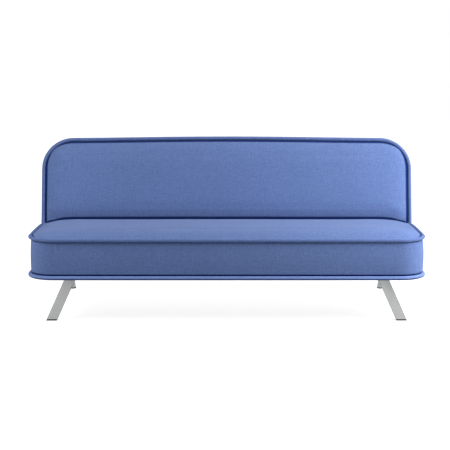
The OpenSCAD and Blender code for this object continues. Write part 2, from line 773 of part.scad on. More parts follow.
seat_cover();
seat_piping_upper();
seat_piping_lower();
seat_foam();
dust_cover();
front_rail();
rear_rail();
side_rail(-1);  // side_rail_left
side_rail(1);  // side_rail_right
leg_rail(-1);  // leg_rail_left
leg_rail(1);  // leg_rail_right
cross_rails();
seat_slats();
seat_slat_pockets();
front_leg(-1);  // front_leg_left
front_leg(1);  // front_leg_right
front_leg_plates();
front_glide(-1);  // front_glide_left
front_glide(1);  // front_glide_right
front_leg_bolts();
front_leg_nuts();
rear_leg(-1);  // rear_leg_left
rear_leg(1);  // rear_leg_right
rear_leg_bar(-1);  // rear_leg_bar_left
rear_leg_bar(1);  // rear_leg_bar_right
rear_leg_spacers();
rear_glide(-1);  // rear_glide_left
rear_glide(1);  // rear_glide_right
rear_leg_bolts();
rear_leg_nuts();
hinge_arm(-1);  // hinge_arm_left
hinge_arm(1);  // hinge_arm_right
hinge_arm_bolts();
hinge_pin(-1);  // hinge_pin_left
hinge_pin(1);  // hinge_pin_right
hinge_nuts();
pawl(-1);  // pawl_left
pawl(1);  // pawl_right
pawl_pins();
pawl_springs();
back_cover();
back_piping_front();
back_piping_rear();
back_foam();
back_top_rail();
back_bottom_rail();
back_upright(-1);  // back_upright_left
back_upright(1);  // back_upright_right
back_inner_rails();
back_slats();
back_slat_pockets();
back_plate(-1);  // back_plate_left
back_plate(1);  // back_plate_right
back_plate_bolts();
rear_zip();
zip_pull();
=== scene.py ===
import json
import math
import bpy
import bmesh
import numpy as np
from mathutils import Matrix, Vector, noise

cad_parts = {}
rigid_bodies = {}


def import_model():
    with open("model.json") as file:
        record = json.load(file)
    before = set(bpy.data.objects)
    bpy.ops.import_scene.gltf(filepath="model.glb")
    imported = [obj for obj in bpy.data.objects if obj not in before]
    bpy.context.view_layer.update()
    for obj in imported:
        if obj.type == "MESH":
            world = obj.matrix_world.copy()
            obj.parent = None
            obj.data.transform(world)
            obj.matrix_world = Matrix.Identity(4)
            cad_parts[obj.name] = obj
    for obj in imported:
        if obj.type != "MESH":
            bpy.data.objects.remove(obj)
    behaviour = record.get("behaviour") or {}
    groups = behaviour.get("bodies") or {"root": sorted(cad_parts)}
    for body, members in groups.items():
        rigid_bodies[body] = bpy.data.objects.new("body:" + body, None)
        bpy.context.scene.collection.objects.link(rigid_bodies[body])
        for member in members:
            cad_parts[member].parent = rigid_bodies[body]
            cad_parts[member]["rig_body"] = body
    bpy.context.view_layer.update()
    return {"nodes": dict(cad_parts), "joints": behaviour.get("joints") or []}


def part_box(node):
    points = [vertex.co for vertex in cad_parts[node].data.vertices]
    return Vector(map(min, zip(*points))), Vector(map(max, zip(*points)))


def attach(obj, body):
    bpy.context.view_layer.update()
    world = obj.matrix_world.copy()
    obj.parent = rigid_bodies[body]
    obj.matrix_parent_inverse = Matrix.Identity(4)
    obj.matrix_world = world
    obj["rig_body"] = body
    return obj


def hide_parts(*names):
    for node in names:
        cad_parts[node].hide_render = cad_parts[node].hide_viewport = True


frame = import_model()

scene = bpy.context.scene
print("frame loaded,", len(frame["nodes"]), "nodes")

# Sizes and places read off the frame, in metres
upperLow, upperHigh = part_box("seat_piping_upper")
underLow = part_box("seat_piping_lower")[0]
coverLow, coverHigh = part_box("seat_cover")
pipeR = (upperHigh.z - upperLow.z) / 2
halfWidth = upperHigh.x
seatFront, seatRear = upperLow.y, upperHigh.y
seatSeam, underSeam = upperLow.z + pipeR, underLow.z + pipeR
coverIn = halfWidth - coverHigh.x
hinge = Vector(next(j for j in frame["joints"] if j["name"] == "backrest_fold")["pos_m"])
frontTop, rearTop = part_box("back_piping_front")[1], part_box("back_piping_rear")[1]
recline = math.atan2(frontTop.z - rearTop.z, rearTop.y - frontTop.y)
backThick = math.hypot(frontTop.z - rearTop.z, rearTop.y - frontTop.y)
topAway = frontTop - hinge - Vector((0, pipeR, pipeR))
backUp = topAway.y * math.sin(recline) + topAway.z * math.cos(recline)
noseR = topAway.z * math.sin(recline) - topAway.y * math.cos(recline)
backRear = backThick - noseR
backPlace = Matrix.Translation(hinge) @ Matrix.Rotation(-recline, 4, "X")
armLow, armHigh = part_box("hinge_arm_right")
pinLow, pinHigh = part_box("hinge_pin_right")
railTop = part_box("rear_rail")[1].z
touch = 1e-6  # points this close lie on one plane


def addObject(name, data):
    made = bpy.data.objects.new(name, data)
    scene.collection.objects.link(made)
    return made


# The camera and the lamps

cameraView = {"place": (-0.0076, -5.7674, 1.277), "tilt": 81.3, "lens": 96.1, "farEnd": 100}
lamps = [  # name, place, aim, width, height, power
    ("rightLamp", (2.6, -1.2, 1.5), (0.6, 0.0, 0.4), 1.6, 1.8, 31),
    ("leftLamp", (-2.8, -1.2, 1.6), (-0.5, 0.0, 0.4), 1.6, 1.8, 9),
    ("rightFill", (1.75, -0.9, 1.25), (0.85, -0.1, 0.4), 0.6, 0.8, 19),
    ("leftFill", (-1.75, -0.9, 1.25), (-0.85, -0.1, 0.4), 0.6, 0.8, 12),
    ("topLamp", (1.9, -0.5, 2.9), (0.5, 0.0, 0.35), 1.6, 1.6, 54),
    ("rearLamp", (0.5, 3.6, 2.4), (0, 0.2, 0.4), 2.6, 1.6, 50),
]


def makeCamera():
    camera = addObject("camera", bpy.data.cameras.new("camera"))
    camera.location = cameraView["place"]
    camera.rotation_euler = (math.radians(cameraView["tilt"]), 0, 0)
    camera.data.lens = cameraView["lens"]
    camera.data.clip_end = cameraView["farEnd"]
    scene.camera = camera


def makeLamps():
    for name, place, aim, width, height, power in lamps:
        lamp = bpy.data.lights.new(name, "AREA")
        lamp.shape, lamp.size, lamp.size_y, lamp.energy = "RECTANGLE", width, height, power
        holder = addObject(name, lamp)
        holder.location = place
        holder.visible_camera = False
        aimed = (Vector(aim) - Vector(place)).to_track_quat("-Z", "Y")
        holder.rotation_euler = aimed.to_euler()


# Node helpers

def join(tree, value, socket):
    if isinstance(value, bpy.types.NodeSocket):
        tree.links.new(value, socket)
    else:
        socket.default_value = value


def joinAll(tree, values, sockets):
    for key, value in values.items():
        join(tree, value, sockets[key])


def put(tree, kind, links=None, **props):
    node = tree.nodes.new(kind)
    for key, value in props.items():
        setattr(node, key, value)
    joinAll(tree, links or {}, node.inputs)
    return node


def first(tree, kind, links=None, **props):
    return put(tree, kind, links, **props).outputs[0]


def maths(tree, operation, a, b=0.0, c=0.0):
    return first(tree, "ShaderNodeMath", {0: a, 1: b, 2: c}, operation=operation)


def times(tree, a, b):
    return maths(tree, "MULTIPLY", a, b)


def swing(tree, value, amount, base=1.0, middle=0.5):
    # Swings round the base as the value does round its middle
    return maths(tree, "MULTIPLY_ADD", maths(tree, "SUBTRACT", value, middle), amount, base)


def blendColour(tree, factor, a, b):
    node = put(tree, "ShaderNodeMix", {0: factor, 6: a, 7: b}, data_type="RGBA")
    return node.outputs[2]


def blendValue(tree, factor, a, b):
    return first(tree, "ShaderNodeMix", {0: factor, 2: a, 3: b}, data_type="FLOAT")


def scaledBy(tree, vector, factor):
    return first(tree, "ShaderNodeVectorMath", {0: vector, "Scale": factor}, operation="SCALE")


def axes(tree, vector):
    return put(tree, "ShaderNodeSeparateXYZ", {0: vector}).outputs


def vectorOf(tree, parts):
    return first(tree, "ShaderNodeCombineXYZ", parts)


def remap(tree, value, low, high, toLow=0.0, toHigh=1.0):
    return first(tree, "ShaderNodeMapRange", dict(enumerate((value, low, high, toLow, toHigh))),
                 interpolation_type="SMOOTHSTEP")


def fineNoise(tree, vector, scale, detail=2.0, rough=0.5):
    links = {"Vector": vector, "Scale": scale, "Detail": detail, "Roughness": rough}
    return put(tree, "ShaderNodeTexNoise", links).outputs["Fac"]


def stretched(tree, vector, scale, turn=(0, 0, 0)):
    return first(tree, "ShaderNodeMapping", {"Vector": vector, "Scale": scale, "Rotation": turn})


def objectPlace(tree):
    return put(tree, "ShaderNodeTexCoord").outputs["Object"]


def facing(tree):
    return axes(tree, put(tree, "ShaderNodeTexCoord").outputs["Normal"])


def pointValue(tree, name):
    return put(tree, "ShaderNodeAttribute", attribute_name=name).outputs["Fac"]


def seenRay(tree):
    # 1 where the camera looks at the surface, straight or through metal and glass
    path = put(tree, "ShaderNodeLightPath").outputs
    mirrored = maths(tree, "MAXIMUM", path["Is Glossy Ray"], path["Is Transmission Ray"])
    return maths(tree, "MAXIMUM", path["Is Camera Ray"], mirrored)


def newTree(name, kind, inputs, outputs):
    tree = bpy.data.node_groups.new(name, kind)
    for labels, way in ((inputs, "INPUT"), (outputs, "OUTPUT")):
        for label, socket in labels.items():
            tree.interface.new_socket(label, in_out=way, socket_type="NodeSocket" + socket)
    source, sink = tree.nodes.new("NodeGroupInput"), tree.nodes.new("NodeGroupOutput")
    return tree, source.outputs, sink.inputs


def useGroup(tree, group, links):
    node = tree.nodes.new("ShaderNodeGroup")
    node.node_tree = group
    joinAll(tree, links, node.inputs)
    return node.outputs


finishes = {}


def newMaterial(name):
    material = bpy.data.materials.new(name)
    finishes[name] = material
    material.use_nodes = True
    tree = material.node_tree
    tree.nodes.clear()
    shader = tree.nodes.new("ShaderNodeBsdfPrincipled")
    output = tree.nodes.new("ShaderNodeOutputMaterial")
    tree.links.new(shader.outputs[0], output.inputs["Surface"])
    return tree, shader.inputs


def addBump(tree, shader, height, distance, strength):
    links = {"Height": height, "Distance": distance, "Strength": strength}
    tree.links.new(first(tree, "ShaderNodeBump", links), shader["Normal"])


# Shader groups that more than one material uses

weaveLook = {
    "waver": 1.3,
    "waverScale": 0.11,
    "waverDetail": 2.0,
    "crossing": 0.35,  # how softly one thread dips under the next
    "warpSlub": (0.9, 0.045, 1),  # slubs run along both sets of threads
    "weftSlub": (0.04, 0.9, 1),
    "fleck": (0.16, 0.21, 1),
    "slubShare": 0.6,
    "heatherSpan": (0.36, 0.64),
    "meanHeight": 0.62,
    "threadShade": 0.22,
    "slubHeight": 0.5,
    "slubNoise": (1.0, 1.5),  # scale, detail and roughness of a noise, here and below
    "fleckNoise": (1.0, 4.0, 0.7),
}
shadeHeight = {"Color": "Color", "Height": "Float"}


def makeWeaveGroup():
    w = weaveLook
    tree, given, out = newTree("plainWeave", "ShaderNodeTree", {
        "Vector": "Vector", "Dark": "Color", "Light": "Color", "Pitch": "Float",
        "Heather": "Float"}, shadeHeight)
    sized = scaledBy(tree, given["Vector"], maths(tree, "DIVIDE", 1.0, given["Pitch"]))
    wobble = put(tree, "ShaderNodeTexNoise", {
        "Vector": sized, "Scale": w["waverScale"], "Detail": w["waverDetail"]})
    drift = scaledBy(tree, wobble.outputs["Color"], w["waver"])
    moved = first(tree, "ShaderNodeVectorMath", {0: sized, 1: drift}, operation="ADD")
    parts = axes(tree, moved)
    across = maths(tree, "SINE", times(tree, parts[0], math.pi))
    along = maths(tree, "SINE", times(tree, parts[1], math.pi))
    over = remap(tree, times(tree, across, along), -w["crossing"], w["crossing"])
    height = blendValue(
        tree, over, maths(tree, "ABSOLUTE", across), maths(tree, "ABSOLUTE", along))
    warpSlub = fineNoise(tree, stretched(tree, moved, w["warpSlub"]), *w["slubNoise"])
    weftSlub = fineNoise(tree, stretched(tree, moved, w["weftSlub"]), *w["slubNoise"])
    slub = blendValue(tree, over, warpSlub, weftSlub)
    fleck = fineNoise(tree, stretched(tree, sized, w["fleck"]), *w["fleckNoise"])
    share = w["slubShare"]
    both = maths(tree, "ADD", times(tree, slub, share), times(tree, fleck, 1 - share))
    mixed = swing(tree, remap(tree, both, *w["heatherSpan"]), given["Heather"], 0.5)
    shaded = swing(tree, height, w["threadShade"], mixed, w["meanHeight"])
    join(tree, blendColour(tree, shaded, given["Dark"], given["Light"]), out["Color"])
    join(tree, maths(tree, "MULTIPLY_ADD", slub, w["slubHeight"], height), out["Height"])
    return tree


toneNoise = (3.0, 0.55)  # detail and roughness


def makeToneGroup():
    tree, given, out = newTree("toneDrift", "ShaderNodeTree", {
        "Vector": "Vector", "Color": "Color", "Amount": "Float", "Scale": "Float"},
        {"Color": "Color"})
    broad = fineNoise(tree, given["Vector"], given["Scale"], *toneNoise)
    factor = swing(tree, broad, given["Amount"])
    join(tree, scaledBy(tree, given["Color"], factor), out["Color"])
    return tree


# Painted shade: the colour turns to the shade colour close to a seam
def makeSeamGroup():
    tree, given, out = newTree("seamShade", "ShaderNodeTree", {
        "Gap": "Float", "Color": "Color", "Deep": "Color", "Reach": "Float"}, shadeHeight)
    clear = remap(tree, given["Gap"], 0.0, given["Reach"])
    join(tree, blendColour(tree, clear, given["Deep"], given["Color"]), out["Color"])
    join(tree, clear, out["Height"])
    return tree


metalLook = {
    "streaks": (1.0, 5.0, 0.65),
    "clouds": (7.0, 3.0),
    "cloudSwing": 0.12,  # how much the clouds change the tone and the roughness
    "roughStreaks": 0.1,
    # facing span over which the flat bar's painted side shade turns on
    "sideShadeSpan": (0.90, 0.985),
    "bumpStrength": 0.5,
}


def makeMetalGroup():
    tree, given, out = newTree("drawnMetal", "ShaderNodeTree", {
        "Vector": "Vector", "Color": "Color", "Rough": "Float", "Streak": "Float"},
        {"Color": "Color", "Roughness": "Float", "Height": "Float"})
    m = metalLook
    streak = fineNoise(tree, given["Vector"], *m["streaks"])
    cloud = fineNoise(tree, objectPlace(tree), *m["clouds"])
    shade = swing(tree, cloud, m["cloudSwing"], swing(tree, streak, given["Streak"]))
    join(tree, scaledBy(tree, given["Color"], shade), out["Color"])
    rough = swing(tree, cloud, m["cloudSwing"], given["Rough"])
    rough = maths(tree, "MULTIPLY_ADD", streak, m["roughStreaks"], rough)
    join(tree, rough, out["Roughness"])
    join(tree, streak, out["Height"])
    return tree


grainLook = {"clouds": (18.0, 4.0, 0.6), "bumpStrength": 0.6}


def makeGrainGroup():
    tree, given, out = newTree("fineGrain", "ShaderNodeTree", {
        "Vector": "Vector", "Color": "Color", "Size": "Float", "Amount": "Float"}, shadeHeight)
    cells = put(tree, "ShaderNodeTexVoronoi", {
        "Vector": given["Vector"], "Scale": maths(tree, "DIVIDE", 1.0, given["Size"])})
    cloud = fineNoise(tree, given["Vector"], *grainLook["clouds"])
    factor = swing(tree, cloud, given["Amount"])
    join(tree, scaledBy(tree, given["Color"], factor), out["Color"])
    join(tree, cells.outputs["Distance"], out["Height"])
    return tree


weaveGroup = makeWeaveGroup()
toneGroup = makeToneGroup()
seamGroup = makeSeamGroup()
metalGroup = makeMetalGroup()
grainGroup = makeGrainGroup()

# Materials

cloth = {
    "dark": (0.0795, 0.126, 0.311, 1),
    "light": (0.160, 0.245, 0.502, 1),
    # painted shade colour for the seams, the tuck and the piping's underside
    "paintedSeamShade": (0.001, 0.016, 0.105, 1),
    "threadPitch": 0.0011,
    "heather": 0.75,
    "seamReach": 0.0050,
    # half width of the painted shade line along the tuck
    "creaseShadeHalf": 0.0040,
    "toneAmount": 0.10,
    "toneScale": 5.0,
    "finish": {"Roughness": 0.92, "Specular IOR Level": 0.10, "Sheen Weight": 0.16,
               "Sheen Roughness": 0.55, "Sheen Tint": (0.72, 0.80, 1.0, 1)},
    "bump": (0.00028, 0.55),
}


def wovenColour(tree, flat, dark, light, toneScale):
    weave = useGroup(tree, weaveGroup, {
        "Vector": flat, "Dark": dark, "Light": light, "Pitch": cloth["threadPitch"],
        "Heather": cloth["heather"]})
    tone = useGroup(tree, toneGroup, {
        "Vector": objectPlace(tree), "Color": weave["Color"],
        "Amount": cloth["toneAmount"], "Scale": toneScale})
    return weave["Height"], tone["Color"]


def makeCoverCloth():
    tree, shader = newMaterial("coverCloth")
    flat = first(tree, "ShaderNodeUVMap", uv_map="clothUv")
    height, colour = wovenColour(tree, flat, cloth["dark"], cloth["light"], cloth["toneScale"])
    # Painted shade near a seam and along the tuck, whichever is nearer
    crease = maths(tree, "ABSOLUTE", pointValue(tree, "crease"))
    nearCreaseShade = maths(tree, "SUBTRACT", crease, cloth["creaseShadeHalf"])
    seam = useGroup(tree, seamGroup, {
        "Gap": maths(tree, "MINIMUM", pointValue(tree, "seamGap"), nearCreaseShade),
        "Color": colour, "Deep": cloth["paintedSeamShade"], "Reach": cloth["seamReach"]})
    joinAll(tree, {"Base Color": seam["Color"], **cloth["finish"]}, shader)
    addBump(tree, shader, height, *cloth["bump"])


pipingLook = {
    "dark": (0.072, 0.114, 0.292, 1),
    "light": (0.145, 0.220, 0.470, 1),
    # Painted light: the lower loop's colours are lighter than the upper's, for the light on its
    # top
    "lowDarkPaintedLit": (0.112, 0.176, 0.430, 1),
    "lowLight": (0.222, 0.334, 0.680, 1),
    "lowShade": 0.9,  # how much painted shade darkens the lower loop underneath
    "shadeSpan": (0.15, -0.6),
    "toneScale": 9.0,
    "finish": {"Roughness": 0.9, "Specular IOR Level": 0.2, "Sheen Weight": 0.12,
               "Sheen Roughness": 0.5, "Sheen Tint": (0.72, 0.80, 1.0, 1)},
    "foldStretch": (34, 7, 1),
    "foldNoise": (4.0, 2.0),
    "foldHeight": 2.2,
    "bump": (0.00035, 0.6),
}


def makePipingCloth(name, dark, light, underside):
    p = pipingLook
    tree, shader = newMaterial(name)
    girth = times(tree, pointValue(tree, "around"), 2 * math.pi * pipeR)
    flat = vectorOf(tree, {0: pointValue(tree, "along"), 1: girth})
    bias = stretched(tree, flat, (1, 1, 1), (0, 0, math.radians(45)))
    height, colour = wovenColour(tree, bias, p[dark], p[light], p["toneScale"])
    # Painted shade on the underside, darker as the surface faces down
    below = times(tree, remap(tree, facing(tree)[2], *p["shadeSpan"]), underside)
    colour = blendColour(tree, below, colour, cloth["paintedSeamShade"])
    joinAll(tree, {"Base Color": colour, **p["finish"]}, shader)
    # The bias strip draws into shallow slanting folds round the cord
    pull = fineNoise(tree, stretched(tree, bias, p["foldStretch"]), *p["foldNoise"])
    height = maths(tree, "MULTIPLY_ADD", pull, p["foldHeight"], height)
    addBump(tree, shader, height, *p["bump"])


metals = {  # colour, roughness, streaks, their stretch, bump, painted shade colour of the side faces
    "frontLegMetal": ((0.35, 0.355, 0.355), 0.46, 0.14, (260, 260, 7), 0.00004,
                      (0.020, 0.020, 0.022)),
    "rearLegChrome": ((0.30, 0.31, 0.32), 0.18, 0.05, (60, 60, 60), 0.00001),
    "brightZinc": ((0.56, 0.57, 0.60), 0.30, 0.12, (300, 300, 300), 0.00003),
    "hingeSteel": ((0.20, 0.20, 0.21), 0.42, 0.25, (40, 260, 260), 0.00004),
    "zipMetal": ((0.50, 0.50, 0.52), 0.28, 0.10, (400, 400, 400), 0.00002),
}


def makeMetal(name, colour, rough, streak, stretch, bump, sideShadeColour=None):
    tree, shader = newMaterial(name)
    metal = useGroup(tree, metalGroup, {
        "Vector": stretched(tree, objectPlace(tree), stretch), "Color": (*colour, 1),
        "Rough": rough, "Streak": streak})
    tone, roughness, metallic = metal["Color"], metal["Roughness"], 1.0
    if sideShadeColour:
        # Painted shade: the side faces of the flat bar are coloured darker and duller, for the
        # dark they reflect from under the sofa
        flatness = maths(tree, "ABSOLUTE", facing(tree)[1])
        metallic = remap(tree, flatness, *metalLook["sideShadeSpan"])
        tone = blendColour(tree, metallic, (*sideShadeColour, 1), tone)
        dull = maths(tree, "SUBTRACT", 1.0, metallic)
        roughness = maths(tree, "MAXIMUM", roughness, dull)
    joinAll(tree, {"Base Color": tone, "Roughness": roughness, "Metallic": metallic}, shader)
    addBump(tree, shader, metal["Height"], bump, metalLook["bumpStrength"])


grained = {  # colour, roughness, grain size, amount, bump, specular level
    "framePaint": ((0.022, 0.022, 0.024), 0.42, 0.0016, 0.25, 0.00012),
    "glidePlastic": ((0.004, 0.004, 0.004), 0.85, 0.0007, 0.2, 0.00008, 0.04),
    "pocketPlastic": ((0.012, 0.012, 0.013), 0.48, 0.0010, 0.2, 0.00008),
    "spacerRubber": ((0.014, 0.014, 0.014), 0.82, 0.0006, 0.3, 0.00010, 0.3),
}


def makeGrained(name, colour, rough, size, amount, bump, level=0.5):
    tree, shader = newMaterial(name)
    grain = useGroup(tree, grainGroup, {
        "Vector": objectPlace(tree), "Color": (*colour, 1), "Size": size, "Amount": amount})
    joinAll(tree, {"Base Color": grain["Color"], "Roughness": rough,
                   "Specular IOR Level": level}, shader)
    addBump(tree, shader, grain["Height"], bump, grainLook["bumpStrength"])


# The slot colour is painted shade for the foam inside the hinge slots
foam = {"colour": (0.66, 0.58, 0.40, 1), "lining": (0.006, 0.010, 0.030, 1), "cells": 0.0022,
        "mottle": 0.22, "slotShadeRoom": 0.014, "bump": (0.0009, 0.6),
        "finish": {"Roughness": 0.95, "Specular IOR Level": 0.1}}


def makeFoam():
    # Foam, painted dark where the hinge arms pass through it, as painted shade inside the slots
    tree, shader = newMaterial("creamFoam")
    place = objectPlace(tree)
    grain = useGroup(tree, grainGroup, {
        "Vector": place, "Color": foam["colour"], "Size": foam["cells"],
        "Amount": foam["mottle"]})
    across = maths(tree, "ABSOLUTE", axes(tree, place)[0])
    slotMiddle = (armLow.x + pinHigh.x) / 2
    off = maths(tree, "ABSOLUTE", maths(tree, "SUBTRACT", across, slotMiddle))
    slotShaded = maths(tree, "LESS_THAN", off, (pinHigh.x - armLow.x) / 2 + foam["slotShadeRoom"])
    colour = blendColour(tree, slotShaded, grain["Color"], foam["lining"])
    joinAll(tree, {"Base Color": colour, **foam["finish"]}, shader)
    addBump(tree, shader, grain["Height"], *foam["bump"])


wood = {"early": (0.46, 0.27, 0.12, 1), "late": (0.72, 0.50, 0.27, 1),
        "pores": (0.25, 0.13, 0.05, 1), "fibre": (60, 2.2, 60), "fibreNoise": (1.0, 3.0, 0.6),
        "rings": {"Scale": 38.0, "Distortion": 5.0, "Detail": 3.0, "Detail Scale": 1.4},
        "ringStretch": (1, 0.05, 1), "ringShare": 0.45, "poreStretch": (900, 18, 900),
        "poreNoise": (1.0, 2.0), "poreSpan": (0.62, 0.72, 0, 0.35), "roughness": (0.62, 0.42),
        "bump": (0.00012, 0.6)}


def makeWood(name, turn):
    w, share = wood, wood["ringShare"]
    tree, shader = newMaterial(name)
    place = stretched(tree, objectPlace(tree), (1, 1, 1), (turn, 0, 0))
    fibre = fineNoise(tree, stretched(tree, place, w["fibre"]), *w["fibreNoise"])
    lines = put(tree, "ShaderNodeTexWave", {
        "Vector": stretched(tree, place, w["ringStretch"]), **w["rings"]}, bands_direction="X")
    rings = times(tree, lines.outputs["Fac"], share)
    grain = maths(tree, "MULTIPLY_ADD", fibre, 1 - share, rings)
    pores = fineNoise(tree, stretched(tree, place, w["poreStretch"]), *w["poreNoise"])
    colour = blendColour(tree, grain, w["early"], w["late"])
    colour = blendColour(tree, remap(tree, pores, *w["poreSpan"]), colour, w["pores"])
    roughness = remap(tree, grain, 0, 1, *w["roughness"])
    joinAll(tree, {"Base Color": colour, "Roughness": roughness}, shader)
    addBump(tree, shader, maths(tree, "ADD", grain, pores), *w["bump"])


tape = {"dark": (0.010, 0.016, 0.045, 1), "light": (0.030, 0.045, 0.105, 1),
        "ribs": 0.0012, "rows": 0.0016, "roughness": 0.85, "bump": (0.0002, 0.7)}


def makeTape():
    tree, shader = newMaterial("zipTape")
    parts = axes(tree, objectPlace(tree))
    ribs = maths(tree, "SINE", times(tree, parts[0], 2 * math.pi / tape["ribs"]))
    rows = maths(tree, "SINE", times(tree, parts[2], 2 * math.pi / tape["rows"]))
    height = times(tree, ribs, rows)
    colour = blendColour(tree, remap(tree, height, -1, 1), tape["dark"], tape["light"])
    joinAll(tree, {"Base Color": colour, "Roughness": tape["roughness"]}, shader)
    addBump(tree, shader, height, *tape["bump"])


dust = {"dark": (0.006, 0.006, 0.007, 1), "light": (0.030, 0.030, 0.033, 1), "dots": 420.0,
        "dotEven": 0.25, "dotSpan": (0.25, 0.5), "fibres": (900.0, 4.0, 0.7),
        "clouds": (6.0, 3.0), "shares": (0.4, 0.5, 0.3), "roughness": 0.8,
        "bump": (0.00025, 0.6)}


def makeDustCloth():
    # Spun cloth: pressed dots over loose fibres
    tree, shader = newMaterial("dustCloth")
    place = objectPlace(tree)
    dots = put(tree, "ShaderNodeTexVoronoi", {
        "Vector": place, "Scale": dust["dots"], "Randomness": dust["dotEven"]})
    pressed = remap(tree, dots.outputs["Distance"], *dust["dotSpan"])
    fibres = fineNoise(tree, place, *dust["fibres"])
    clouds = fineNoise(tree, place, *dust["clouds"])
    dotShare, fibreShare, cloudShare = dust["shares"]
    mixed = maths(tree, "MULTIPLY_ADD", pressed, dotShare, times(tree, fibres, fibreShare))
    mixed = maths(tree, "MULTIPLY_ADD", clouds, cloudShare, mixed)
    colour = blendColour(tree, mixed, dust["dark"], dust["light"])
    joinAll(tree, {"Base Color": colour, "Roughness": dust["roughness"]}, shader)
    addBump(tree, shader, maths(tree, "ADD", pressed, fibres), *dust["bump"])


makeCoverCloth()
makePipingCloth("pipingCloth", "dark", "light", 0.0)
# The lower loop: a lighter copy as painted light, with painted shade underneath
makePipingCloth("lowPipingPaintedLitCloth", "lowDarkPaintedLit", "lowLight", pipingLook["lowShade"])
for name, values in metals.items():
    makeMetal(name, *values)
for name, values in grained.items():
    makeGrained(name, *values)
makeFoam()
makeWood("slatWood", 0.0)
makeWood("backSlatWood", recline - math.pi / 2)
makeTape()
makeDustCloth()
print("materials made")

# Mesh helpers

def smooth(t):
    t = np.clip(t, 0, 1)
    return t * t * (3 - 2 * t)


def between(value, low, high):
    return smooth((value - low) / (high - low))


def soft(t, power=2.4):
    return 1 - (1 - np.clip(t, 0, 1)) ** power


def gridLines(marks, step):
    # Lines at every mark, and evenly between the marks at about one step
    lines = [marks[0]]
    for low, high in zip(marks, marks[1:]):
        count = max(1, round((high - low) / step))
        lines += [low + (high - low) * (i + 1) / count for i in range(count)]
    return lines


def mirrored(half):
    return sorted({-x for x in half} | set(half))


def boxGrid(xs, ys, zs):
    # The six panels of a box on one lattice
    nx, ny, nz = len(xs) - 1, len(ys) - 1, len(zs) - 1
    index, points, faces, panels = {}, [], [], []

    def at(i, j, k):
        if (i, j, k) not in index:
            index[i, j, k] = len(points)
            points.append((xs[i], ys[j], zs[k]))
        return index[i, j, k]

    def cell(panel, *corners):
        faces.append([at(*corner) for corner in corners])
        panels.append(panel)

    for i in range(nx):
        for j in range(ny):
            cell("top", (i, j, nz), (i + 1, j, nz), (i + 1, j + 1, nz), (i, j + 1, nz))
            cell("bottom", (i, j, 0), (i, j + 1, 0), (i + 1, j + 1, 0), (i + 1, j, 0))
        for k in range(nz):
            cell("front", (i, 0, k), (i + 1, 0, k), (i + 1, 0, k + 1), (i, 0, k + 1))
            cell("rear", (i, ny, k), (i, ny, k + 1), (i + 1, ny, k + 1), (i + 1, ny, k))
    for j in range(ny):
        for k in range(nz):
            cell("left", (0, j, k), (0, j, k + 1), (0, j + 1, k + 1), (0, j + 1, k))
            cell("right", (nx, j, k), (nx, j + 1, k), (nx, j + 1, k + 1), (nx, j, k + 1))
    return np.array(points), faces, panels


def panelUvs(points, faces, panels, layout):
    # Each panel lies flat on the cloth. The layouts keep most panels metres apart, so that no
    # two of them show the same threads
    return [layout[panel](*points[corner]) for face, panel in zip(faces, panels)
            for corner in face]


def roundCorner(a, b, radius):
    # Square corner zones become quarter discs, and all else stays
    u, v = np.clip(a / radius, 0, 1), np.clip(b / radius, 0, 1)
    corner = (a > 0) & (b > 0)
    return (np.where(corner, a * np.sqrt(1 - v * v / 2), a),
            np.where(corner, b * np.sqrt(1 - u * u / 2), b))


def grownCorner(a, b, radius, grow):
    # The same, with the outline then let out by grow
    a, b = roundCorner(a, b, radius)
    fit = 1 + grow / radius
    return np.where(a > 0, a * fit, a), np.where(b > 0, b * fit, b)


seedShift = Vector((7.3, 3.1, 5.7))  # each seed moves the noise this far


def rollNoise(points, scale, amount, seed):
    shift = seed * seedShift
    return np.array([amount * noise.noise(Vector(p) * scale + shift) for p in points])


def meshFrom(name, points, faces, uvs=None, attributes=None):
    mesh = bpy.data.meshes.new(name)
    mesh.from_pydata([tuple(p) for p in points], [], faces)
    for label, values in (attributes or {}).items():
        layer = mesh.attributes.new(label, "FLOAT", "POINT")
        layer.data.foreach_set("value", np.asarray(values, np.float32))
    if uvs is not None:
        layer = mesh.uv_layers.new(name="clothUv")
        layer.data.foreach_set("uv", np.asarray(uvs, np.float32).ravel())
    smoothFaces(mesh)
    return addObject(name, mesh)


def smoothFaces(mesh):
    mesh.polygons.foreach_set("use_smooth", [True] * len(mesh.polygons))


def addWall(piece, thickness, offset):
    # An offset of -1 grows the wall inwards from the surface that shows
    wall = piece.modifiers.new("wall", "SOLIDIFY")
    wall.thickness, wall.offset = thickness, offset


def vectorsOf(mesh, label):
    flat = np.empty(len(mesh.vertices) * 3)
    mesh.vertices.foreach_get(label, flat)
    return flat.reshape(-1, 3)


blowing = {"quality": 4, "mass": 0.25, "stiffness": 22, "shear": 12, "bending": 0.6,
           "frames": 14}


